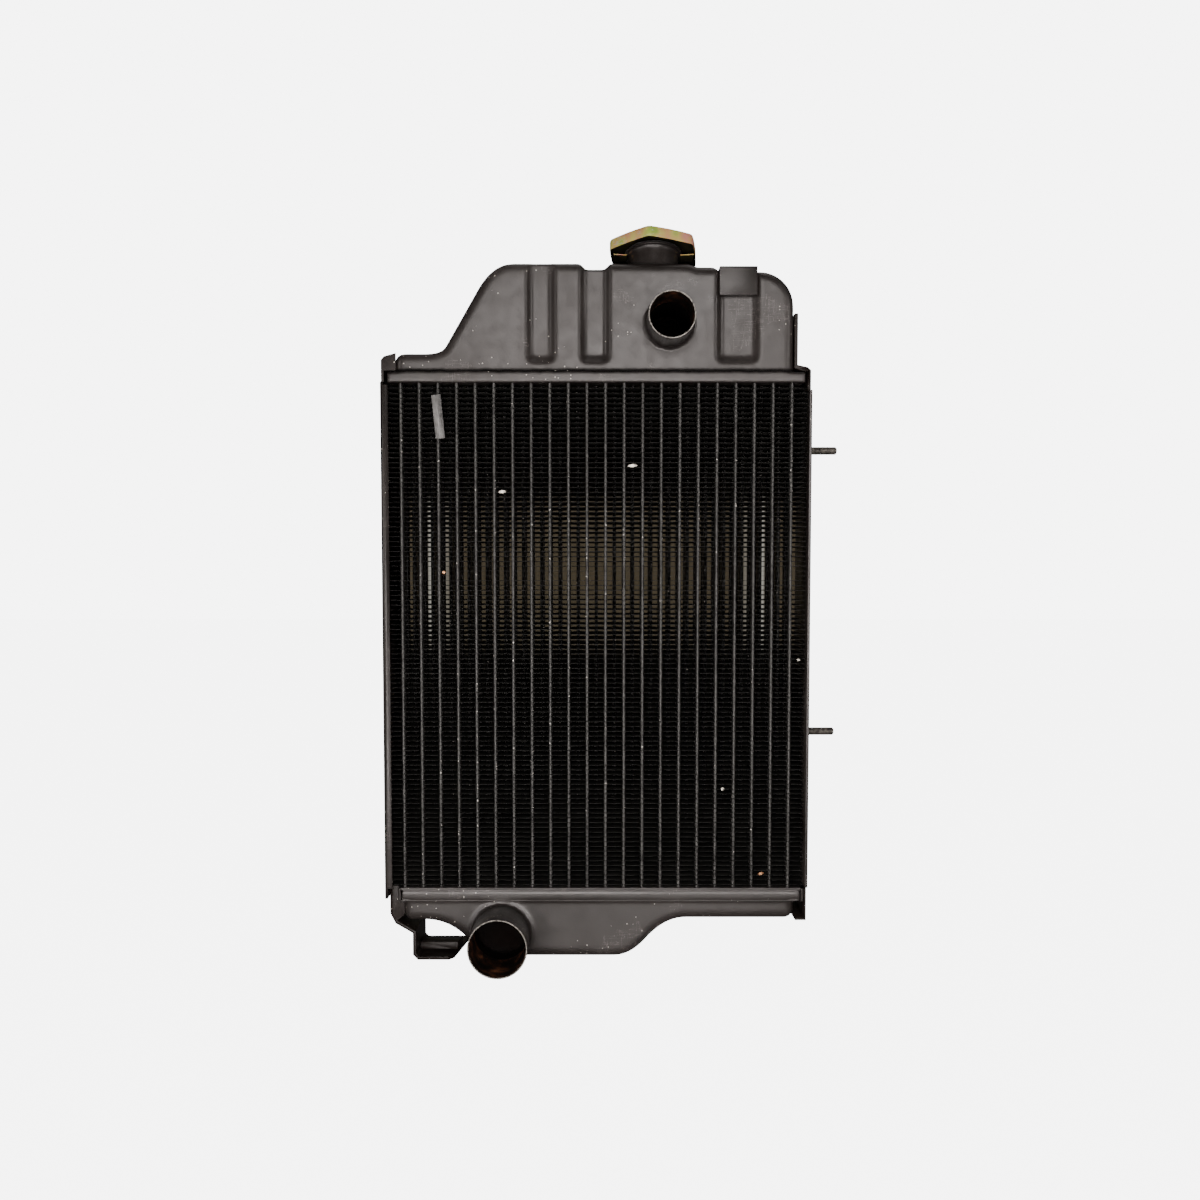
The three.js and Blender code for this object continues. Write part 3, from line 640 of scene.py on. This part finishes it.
def pathPoints(start, path):
    points = [Vector(start)]

    def addLine(target):
        origin = points[-1]
        count = max(1, round((target - origin).length / pressing["outlineStep"]))
        points.extend(origin.lerp(target, (i + 1) / count) for i in range(count))

    for command, *values in path:
        if command == "to":
            addLine(Vector(values))
        elif command == "bend":
            origin, control, target = points[-1], Vector(values[:2]), Vector(values[2:])
            points.extend(origin.lerp(control, t).lerp(control.lerp(target, t), t) for t in
                          ((i + 1) / 16 for i in range(16)))
        else:
            x, z, radius, first, last = values
            turns = [math.radians(first + (last - first) * i / 10) for i in range(1, 11)]
            turns.insert(0, math.radians(first))
            addLine(Vector((x + radius * math.cos(turns[0]), z + radius * math.sin(turns[0]))))
            points.extend(Vector((x + radius * math.cos(a), z + radius * math.sin(a))) for a in turns[1:])
    kept = [points[0]]
    for point in points[1:]:
        if (point - kept[-1]).length > 0.05:
            kept.append(point)
    return kept


def insetRing(points, inset):
    # every point moves inwards along the mean of its neighbours' normals
    count = len(points)
    followed = list(zip(points, points[1:] + points[:1]))
    area = sum(first.x * second.y - second.x * first.y for first, second in followed)
    side = 1 if area > 0 else -1
    ring = []
    for i, point in enumerate(points):
        before = (point - points[i - 1]).normalized()
        after = (points[(i + 1) % count] - point).normalized()
        normal = Vector((-(before.y + after.y), before.x + after.x)) * side
        normal.normalize()
        spread = max(0.5, math.sqrt((1 + before.dot(after)) / 2))
        ring.append(point + normal * inset / spread)
    return ring


def roundedBlock(name, points, halfDepth):
    radius, steps = pressing["rounding"], pressing["steps"]
    rings = []
    for side in (-1, 1):
        turns = [i / steps * math.pi / 2 for i in range(steps, -1, -1)]
        for turn in turns if side < 0 else reversed(turns):
            depth = side * (halfDepth - radius * (1 - math.sin(turn)))
            flat = insetRing(points, radius * (1 - math.cos(turn)))
            rings.append([Vector((p.x * mm, depth * mm, p.y * mm)) for p in flat])
    return fromRings(name, rings, closed=False, caps=True)


def roundedRect(left, right, foot, top, corner, footOnly=False):
    points = []
    for x, z, first in ((right, foot, 270), (left, foot, 180), (left, top, 90), (right, top, 0)):
        radius = corner if z == foot or not footOnly else 0.01
        cx = x + (radius if x == left else -radius)
        cz = z + (radius if z == foot else -radius)
        for i in range(5):
            turn = math.radians(first + 22.5 * i)
            points.append((cx + radius * math.cos(turn), cz + radius * math.sin(turn)))
    return points


def ribCutters(halfDepth):
    cutters = []
    spread = ribs["slope"] * ribs["lift"] / ribs["depth"]
    for rib in ribs["places"]:
        left, right, top = rib["left"], rib["right"], rib["top"]
        wide = roundedRect(left - spread, right + spread, ribs["foot"] - spread, top, ribs["corner"], True)
        narrow = roundedRect(left + ribs["slope"], right - ribs["slope"], ribs["foot"] + ribs["slope"],
                             top - ribs["slope"], ribs["corner"] * 0.4, True)
        for side in (-1, 1):
            outer = [(x * mm, side * (halfDepth + ribs["lift"]) * mm, z * mm) for x, z in wide]
            inner = [(x * mm, side * (halfDepth - ribs["depth"]) * mm, z * mm) for x, z in narrow]
            cutters.append(hullFrom("rib_cut", outer + inner))
        if rib["dip"] is not None:
            reach = halfDepth + 5
            high = rib["dip"] + ribs["depth"] + ribs["lift"]
            points = [(x * mm, y * mm, z * mm) for y in (-reach, reach) for x, z in (
                (left - spread, high), (right + spread, high),
                (left + ribs["slope"], rib["dip"]), (right - ribs["slope"], rib["dip"]))]
            cutters.append(hullFrom("dip_cut", points))
    return cutters


def rod(radius, place, length):
    profile = [(0, 0), (radius, 0), (radius, length), (0, length)]
    return turnedPiece("rod", profile, place, 64, closed=False)


def faceForward(x, y, z):
    # a frame whose own Z points to the front of the radiator
    return Matrix.Translation((x, y, z)) @ Matrix.Rotation(math.pi / 2, 4, "X")


def middleOf(node):
    low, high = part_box(node)
    return (low + high) / 2


halfDepth = 34
inletMid, outletMid = middleOf("inlet_pipe"), middleOf("outlet_pipe")
openings = {  # dark: how far from the axis the near-black painted shade inside the hole reaches; skin: depth of the front face
    "inlet": {"radius": 20.7, "start": 28, "length": 90, "dark": 21.5},
    "outlet": {"radius": 27.1, "start": -11, "length": 80, "dark": 28},
    "outletBoss": {"radius": 31.2, "start": -8, "length": 27.3},
    "neck": {"radius": 23.6, "start": -5, "length": 40},
    "skin": 32.5,
}
neckSink = 8.1  # the neck's own zero lies this far below the joint's point

neckJoint = next(joint for joint in frame["joints"] if joint["name"] == "cap_turn")
leanAxis = Vector(neckJoint["axis"]).normalized()
leaning = Matrix.Translation(neckJoint["pos_m"])
leaning = leaning @ Vector((0, 0, 1)).rotation_difference(leanAxis).to_matrix().to_4x4()
leaning = leaning @ Matrix.Translation((0, 0, -neckSink * mm))


def paintShadeInMouth(tank, paint, middle, radius):
    # faces inside the pipe's hole take a near-black finish: painted shade for the dark inside of the tank
    def rule(face):
        away = math.hypot(face.center.x - middle.x, face.center.z - middle.z)
        return 1 if away < radius * mm and face.center.y > -openings["skin"] * mm else 0

    paintFaces(tank, [paint, "paintedShadeInside"], rule)


def joined(piece, others):
    for i, other in enumerate(others):
        modifier = piece.modifiers.new(f"join{i}", "BOOLEAN")
        modifier.operation, modifier.solver, modifier.object = "UNION", "EXACT", other
    settledMesh(piece)
    for other in others:
        bpy.data.objects.remove(other)


def footFlange(spans):
    # the tank's foot, which fills the header pan
    corners = [(x * mm, y * mm, z * mm) for x in spans["x"] for y in spans["y"] for z in spans["z"]]
    return hullFrom("foot", corners)


flanges = {"top": {"x": (-201.4, 201.4), "y": (-35.4, 35.4), "z": (562.5, 572.4)},
           "bottom": {"x": (-192.7, 201.4), "y": (-35.4, 35.4), "z": (57.8, 67.6)}}


def throughFront(opening, middle):
    # a round bar that runs out of the front, from the opening's own start
    place = faceForward(middle.x, opening["start"] * mm, middle.z)
    return rod(opening["radius"], place, opening["length"])


def buildTopTank():
    tank = roundedBlock("top_tank_pressed", pathPoints(topTank["start"], topTank["path"]), halfDepth)
    joined(tank, [footFlange(flanges["top"])])
    hole = throughFront(openings["inlet"], inletMid)
    cut(tank, ribCutters(halfDepth) + [hole])
    pressed(tank, pressing["voxel"], pressing["rounds"])
    neckHole = openings["neck"]
    place = leaning @ Matrix.Translation((0, 0, neckHole["start"] * mm))
    cut(tank, [rod(neckHole["radius"], place, neckHole["length"])])
    paintShadeInMouth(tank, "paintTop", inletMid, openings["inlet"]["dark"])
    settle(tank, "root", "paint", "black_paint", "top_tank")


def buildBottomTank():
    outline = pathPoints(bottomTank["start"], bottomTank["path"])
    tank = roundedBlock("bottom_tank_pressed", outline, halfDepth)
    joined(tank, [throughFront(openings["outletBoss"], outletMid), footFlange(flanges["bottom"])])
    cut(tank, [throughFront(openings["outlet"], outletMid)])
    pressed(tank, pressing["voxel"], pressing["rounds"])
    paintShadeInMouth(tank, "paint", outletMid, openings["outlet"]["dark"])
    settle(tank, "root", "paint", "black_paint", "bottom_tank")


buildTopTank()
buildBottomTank()
print("tanks pressed")

# header rims

rim = {"corner": 3, "wall": 2.2, "floor": 2.2, "edge": 0.9, "waves": 0.35, "pointStep": 6, "levels": 6}


def headerRim(name, node, openUp):
    low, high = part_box(node)
    left, right, back = low.x / mm, high.x / mm, high.y / mm
    heights = (low.z / mm, high.z / mm)
    long, short = round((right - left) / rim["pointStep"]), round(2 * back / rim["pointStep"])
    counts = {4: long, 9: short, 14: long, 19: short}  # points along the straight run after each corner

    def ring(inset, z, wavy=False):
        corner = max(0.8, rim["corner"] - inset)
        corners = roundedRect(left + inset, right - inset, -back + inset, back - inset, corner)
        points = []
        for i, start in enumerate(corners):
            end = corners[(i + 1) % len(corners)]
            count = counts.get(i, 1)
            dx, dy = end[0] - start[0], end[1] - start[1]
            points.extend((start[0] + dx * k / count, start[1] + dy * k / count) for k in range(count))
        if wavy:
            dents = [abs(noise.noise(Vector((x * 0.03, z * 0.3, y)))) * rim["waves"] for x, y in points]
            points = [(x, y + (1 if y < 0 else -1) * dent) for (x, y), dent in zip(points, dents)]
        return [Vector((x * mm, y * mm, z * mm)) for x, y in points]

    floorSide, openSide = heights if openUp else heights[::-1]
    step = 1 if openUp else -1
    rings = [ring(rim["edge"], floorSide), ring(0.25, floorSide + step * 0.25),
             ring(0, floorSide + step * rim["edge"])]
    span = abs(openSide - floorSide)
    rings += [ring(0, floorSide + step * span * k / rim["levels"], True) for k in range(1, rim["levels"])]
    rings += [ring(0.1, openSide - step * 0.5), ring(0.5, openSide), ring(rim["wall"] - 0.4, openSide)]
    body = fromRings(name, rings, closed=False, caps=True, angle=50)
    recess = ring(rim["wall"], floorSide + step * rim["floor"])
    mouth = ring(rim["wall"], openSide + step * 3)
    cut(body, [fromRings("recess", [recess, mouth], closed=False, caps=True)])
    body.data.shade_smooth()
    body.data.set_sharp_from_angle(angle=math.radians(40))
    settle(body, "root", "rim", "black_paint", node)


headerRim("upper_header_rim", "upper_header_plate", True)
headerRim("lower_header_rim", "lower_header_plate", False)
print("header rims made")

# hose pipes

pipes = [
    {"node": "inlet_pipe", "name": "inlet_pipe_fine", "radius": 22.25, "wall": 1.5, "reach": 43, "face": 0,
     "flare": 3.9, "seed": 3},
    {"node": "outlet_pipe", "name": "outlet_pipe_fine", "radius": 28.575, "wall": 1.5, "reach": 52,
     "face": 1.5, "flare": 2.8, "seed": 11},
]
solder = {"steps": 7, "tall": 1.5, "lump": 0.9}  # the fillet at a pipe's foot: height is flare times tall


def hosePipe(spec):
    middle = middleOf(spec["node"])
    place = faceForward(middle.x, -halfDepth * mm, middle.z)
    radius, tip, face, flare = spec["radius"], spec["reach"], spec["face"], spec["flare"]
    inner = radius - spec["wall"]
    steps, tall = solder["steps"], flare * solder["tall"]
    fillet = [(radius + flare * (1 - math.sin(t)), face + 0.35 + tall * (1 - math.cos(t))) for t in
              (i / steps * math.pi / 2 for i in range(steps + 1))]
    barrel = [(radius, face + 0.5 + tall + (tip - face - tall - 2) * k / 5) for k in range(1, 6)]
    lip = [(radius - 0.1, tip - 0.35), (radius - 0.45, tip), (inner + 0.45, tip), (inner + 0.1, tip - 0.35)]
    bore = [(inner, tip - 2 - (tip + 3) * k / 6) for k in range(6)] + [(inner, -3.5), (radius - 0.1, -3.5)]

    def bead(i, turn):
        if i > steps:
            return 0.0
        lump = noise.noise(Vector((6 * math.cos(turn), 6 * math.sin(turn), spec["seed"] + i * 0.3)))
        return lump * solder["lump"] * (1 - i / steps)

    piece = turnedPiece(spec["name"], fillet + barrel + lip + bore, place, 128, True, bead)
    lipStart = -(halfDepth + tip - 0.5) * mm

    def rule(face):
        centre = face.center
        away = math.hypot(centre.x - middle.x, centre.z - middle.z)
        if centre.y < lipStart:
            return 2
        return 1 if away < (radius - spec["wall"] * 0.5) * mm else 0

    paintFaces(piece, ["paint", "pipeInside", "lip"], rule)
    settle(piece, "root", "paint", "black_paint", spec["node"])


for spec in pipes:
    hosePipe(spec)
print("hose pipes made")

# core: fins and tubes

fins = {"count": 103, "thick": 0.18, "wave": 0.15, "bent": 0.24, "perBay": 5, "edge": 3}
tubeCount = 22
coreLow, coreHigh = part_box("core_fins")


def finStack():
    # thin plates, one above the other, whose front and back edges are slightly bent between tubes
    mesh = bpy.data.meshes.new("core_fins_fine")
    points, faces = [], []
    columns = tubeCount * fins["perBay"]
    pitch = (coreHigh.z - coreLow.z) / fins["count"]
    depths = [coreLow.y, coreLow.y + fins["edge"] * mm, coreHigh.y - fins["edge"] * mm, coreHigh.y]
    half = fins["thick"] * mm / 2
    for k in range(fins["count"]):
        z = coreLow.z + pitch * (k + 0.5)
        start = len(points)
        width = columns + 1
        for side in (half, -half):
            for row, y in enumerate(depths):
                edge = row in (0, 3)
                for i in range(width):
                    x = coreLow.x + (coreHigh.x - coreLow.x) * i / columns
                    sag = noise.noise(Vector((x * 60, k * 3.1, row * 5.0))) * fins["wave"]
                    if edge:
                        sag += noise.noise(Vector((x * 260, k * 7.7, row + 20.0))) * fins["bent"]
                    points.append((x, y, z + sag * mm + side))
        layer = width * len(depths)
        for row in range(len(depths) - 1):
            for i in range(columns):
                a = start + row * width + i
                faces.append((a, a + 1, a + width + 1, a + width))
                b = a + layer
                faces.append((b + width, b + width + 1, b + 1, b))
        for i in range(columns):
            a = start + i
            faces.append((a + layer, a + layer + 1, a + 1, a))
            c = start + (len(depths) - 1) * width + i
            faces.append((c, c + 1, c + layer + 1, c + layer))
        for row in range(len(depths) - 1):
            a = start + row * width
            faces.append((a, a + width, a + width + layer, a + layer))
            c = a + columns
            faces.append((c + layer, c + width + layer, c + width, c))
    mesh.from_pydata(points, [], faces)
    piece = linked("core_fins_fine", mesh, 30)
    settle(piece, "root", "fins", "fin_metal", "core_fins")


def frontTube(node):
    # a flat tube with round noses
    low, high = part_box(node)
    x, radius = (low.x + high.x) / 2, (high.x - low.x) / 2
    ring = []
    for centre, first in ((high.y - radius, 0), (low.y + radius, 180)):
        for i in range(9):
            turn = math.radians(first + 22.5 * i)
            ring.append((radius * math.cos(turn), centre + radius * math.sin(turn)))
    rings = [[Vector((x + px, py, z)) for px, py in ring] for z in
             (low.z + (high.z - low.z) * k / 40 for k in range(41))]
    piece = fromRings(node + "_round", rings, closed=False, caps=True, angle=50)
    settle(piece, "root", "tubes", "tube_metal", node)


finStack()
for number in range(1, tubeCount + 1):
    frontTube(f"tube_{number:02d}")
for row in (2, 3, 4):
    softened(f"tube_row_{row}", "tubes", 0)
print("core made")

# bent bits of fin that catch the light: x, z, length, tilt in degrees, finish
slivers = [(-91, 458, 7, 8, "sliver"), (35, 483, 9, 4, "sliver"), (-148, 380, 4, 60, "copperSliver"),
           (124, 168, 4, -40, "sliver"), (162, 84, 6, 12, "copperSliver"), (197, 295, 4, 80, "sliver")]


def bentSliver(index, x, z, length, tilt, material):
    rings = []
    cosine, sine = math.cos(math.radians(tilt)), math.sin(math.radians(tilt))
    for k in range(7):
        along = (k / 6 - 0.5) * length
        lift = -0.9 * math.cos(along / length * math.pi)
        half = 1.15 * math.cos(along / length * 2.6) + 0.2
        section = ((-half, 0), (half, 0.1), (half, 0.28), (-half, 0.18))
        rings.append([Vector(((x + along * cosine - across * sine) * mm, coreLow.y + (lift - deep) * mm,
                              (z + along * sine + across * cosine) * mm)) for across, deep in section])
    piece = fromRings(f"bent_fin_{index}", rings, closed=False, caps=True, angle=60)
    settle(piece, "root", material, "fin_metal")


for index, sliver in enumerate(slivers):
    bentSliver(index, *sliver)

# filler neck and cap

neckShape = {
    "profile": [(24.25, -3), (24.25, 3), (24.25, 9), (24.25, 15), (24.25, 19), (24.4, 21), (24.9, 22.4),
                (25.4, 22.9), (28.2, 23.05), (28.5, 23.4), (28.3, 24.3), (23.2, 24.5),
                (22.75, 24.1), (22.75, 5.5), (17.6, 5.5), (17.5, 4), (22.75, 4), (22.75, -3)],
    "notch": {"x": (25.4, 40), "y": (-10.5, 10.5), "z": (20, 26)},
}
capShape = {
    "corner": 46.6, "middle": 41.5, "turn": -98, "sides": 6, "sharpness": 44, "skirt": 20.8, "top": 32.3,
    "crown": 34, "segments": 192, "ear": {"x": (26.3, 39.2), "y": (-8, 8), "z": (20.9, 22)},
}


def leaningBlock(name, spans, side, narrow=1):
    # a block beside the neck; narrow scales the width of its inner end
    corners = [leaning @ Vector((side * x * mm, y * mm * (1 if x == spans["x"][1] else narrow), z * mm))
               for x in spans["x"] for y in spans["y"] for z in spans["z"]]
    return hullFrom(name, corners)


def neckPiece():
    neck = turnedPiece("filler_neck_fine", neckShape["profile"], leaning, 96, angle=30)
    cut(neck, [leaningBlock("notch", neckShape["notch"], side) for side in (-1, 1)])
    neck.data.shade_smooth()
    neck.data.set_sharp_from_angle(angle=math.radians(35))
    settle(neck, "root", "paint", "black_paint", "filler_neck")


def capReach(turn):
    # a six-sided outline with softened corners and sides pushed out a little at the middle
    sides, sharpness = capShape["sides"], capShape["sharpness"]
    shrink = math.cos(math.pi / sides)
    total, facing = 0.0, 0.0
    for k in range(sides):
        side = math.radians(capShape["turn"] + 180 / sides + 360 / sides * k)
        toward = max(0.0, math.cos(turn - side))
        total += toward ** sharpness
        facing = max(facing, toward)
    straight = capShape["corner"] * shrink / total ** (1 / sharpness)
    bulge = capShape["middle"] - capShape["corner"] * shrink
    return straight + bulge * max(0.0, 1 - (1 - facing) / (1 - shrink)) ** 0.7


def capPiece():
    outline = capShape["corner"]
    skirt, top, crown = capShape["skirt"], capShape["top"], capShape["crown"]
    rows = [  # roundness from 0 (six-sided) to 1 (circle), radius, height
        (0, outline - 1.1, skirt + 0.1), (0, outline - 0.6, skirt), (0, outline - 0.1, skirt + 0.3),
        (0, outline, skirt + 1.2), (0, outline, skirt + 5), (0, outline, top - 3.2),
        (0, outline - 0.25, top - 1.6), (0.05, outline - 0.9, top - 0.6), (0.1, outline - 2.2, top - 0.05),
        (0.4, outline - 8, top + 0.15), (1, 24.5, top + 0.1), (1, 22.4, top + 0.2), (1, 21.2, crown - 0.9),
        (1, 20.2, crown - 0.2), (1, 18.5, crown), (1, 10, crown), (1, 3.4, crown), (1, 3.2, crown - 0.3),
        (1, 3.2, crown - 1.1), (1, 19.4, crown - 1.1), (1, 20.2, top - 1.2), (0.3, 35, top - 1.2),
        (0, outline - 1.8, top - 1.6), (0, outline - 1.2, top - 3), (0, outline - 1.2, skirt + 1),
    ]
    rings = []
    for roundness, radius, height in rows:
        ring = []
        for j in range(capShape["segments"]):
            turn = 2 * math.pi * j / capShape["segments"]
            flat = capReach(turn) * radius / outline
            ring.append(leaning @ around(flat + (radius - flat) * roundness, turn, height))
        rings.append(ring)
    piece = fromRings("cap_shell_fine", rings, angle=32)
    merged = bmesh.new()
    merged.from_mesh(piece.data)
    for side in (-1, 1):
        ear = leaningBlock("ear", capShape["ear"], side, 0.8)
        merged.from_mesh(ear.data)
        bpy.data.objects.remove(ear)
    merged.to_mesh(piece.data)
    merged.free()
    inwards = leaning.inverted()

    def rule(face):
        # everything that looks down or towards the axis takes a near-black zinc finish: painted shade
        normal, centre = inwards.to_3x3() @ face.normal, inwards @ face.center
        outward = normal.x * centre.x + normal.y * centre.y
        return 1 if normal.z < -0.5 or outward < -0.2 * math.hypot(centre.x, centre.y) else 0

    paintFaces(piece, ["zinc", "zincPaintedShade"], rule)
    settle(piece, "cap_cover", "zinc", "zinc_plate", "cap_shell")


spring = {"low": 10.6, "high": 23.1, "radius": 12, "wire": 1.05, "turns": 4, "steps": 160, "sides": 12,
          "seat": 24.3}


def springPiece():
    # round wire wound between the valve plate and the gasket
    steps, sides, wire, radius = spring["steps"], spring["sides"], spring["wire"], spring["radius"]
    rings = []
    for k in range(steps + 1):
        turn = 2 * math.pi * spring["turns"] * k / steps
        height = spring["low"] + (spring["high"] - spring["low"]) * k / steps
        rings.append([leaning @ around(radius + math.cos(a) * wire, turn, height + math.sin(a) * wire)
                      for a in (2 * math.pi * s / sides for s in range(sides))])
    piece = fromRings("cap_spring_fine", rings, closed=False, caps=True)
    settle(piece, "cap_carrier", "steel", "bare_steel", "cap_spring")
    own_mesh(piece)


neckPiece()
capPiece()
springPiece()
print("neck and cap made")

# studs

thread = {
    "radius": 4.0, "pitch": 1.25, "depth": 0.36, "plain": 2.2, "segments": 28, "step": 0.16,
    "collar": [(0, 0), (5.9, 0), (6.3, 0.01), (6.3, 1.4), (6.0, 1.5)], "tip": 2, "taper": 0.35,
}


def studPiece(node):
    low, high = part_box(node)
    middle = (low + high) / 2
    place = Matrix.Translation((low.x, middle.y, middle.z)) @ Matrix.Rotation(math.pi / 2, 4, "Y")
    length = (high.x - low.x) / mm
    segments, collarEnd = thread["segments"], thread["collar"][-1][1]
    turns = [2 * math.pi * j / segments for j in range(segments)]
    rings = [[place @ around(radius, turn, height) for turn in turns]
             for radius, height in thread["collar"]]
    heights = [collarEnd + 0.01]
    while heights[-1] < length - 0.01:
        heights.append(min(length - 0.01, heights[-1] + thread["step"]))
    for height in heights + [length]:
        grown = min(1, (height - collarEnd) / thread["plain"])
        taper = max(0, height - (length - thread["tip"])) ** 2 * thread["taper"]
        ring = []
        for j, turn in enumerate(turns):
            phase = (height / thread["pitch"] - j / segments) % 1
            cutIn = thread["depth"] * (1 - abs(2 * phase - 1)) * grown
            ring.append(place @ around(thread["radius"] - cutIn - taper, turn, height))
        rings.append(ring)
    rings.append([place @ around(0, turn, length) for turn in turns])
    piece = fromRings(node + "_threaded", rings, closed=False, angle=60)
    settle(piece, "root", "stud", "stud_steel", node)


studPiece("upper_stud")
studPiece("lower_stud")

# plates, brackets and small parts kept from the frame

smallParts = [  # nodes, finish, width of the broken edge, segments across it
    (("left_side_plate", "right_side_plate", "drain_boss"), "paint", 0.6, 3),
    (("tank_strap",), "paintStrap", 0.6, 3),
    (("left_foot_bracket", "right_tank_bracket", "left_tank_bracket", "lower_right_end_plate"),
     "paintDull", 0.6, 3),
    (("overflow_spout",), "paint", 0.3, 3),
    (("cap_rivet",), "steel", 0.25, 2),
    (("cap_gasket", "pressure_seal"), "rubber", 0.25, 2),
    (("pressure_valve_plate",), "brass", 0.2, 2),
    (("vacuum_valve",), "brass", 0.12, 2),
    (("drain_tap_body", "drain_tap_key"), "brass", 0.4, 3),
    (("core_tag",), "tag", 0.1, 1),
]
for nodes, material, width, segments in smallParts:
    for node in nodes:
        softened(node, material, width, segments)
print("small parts finished")
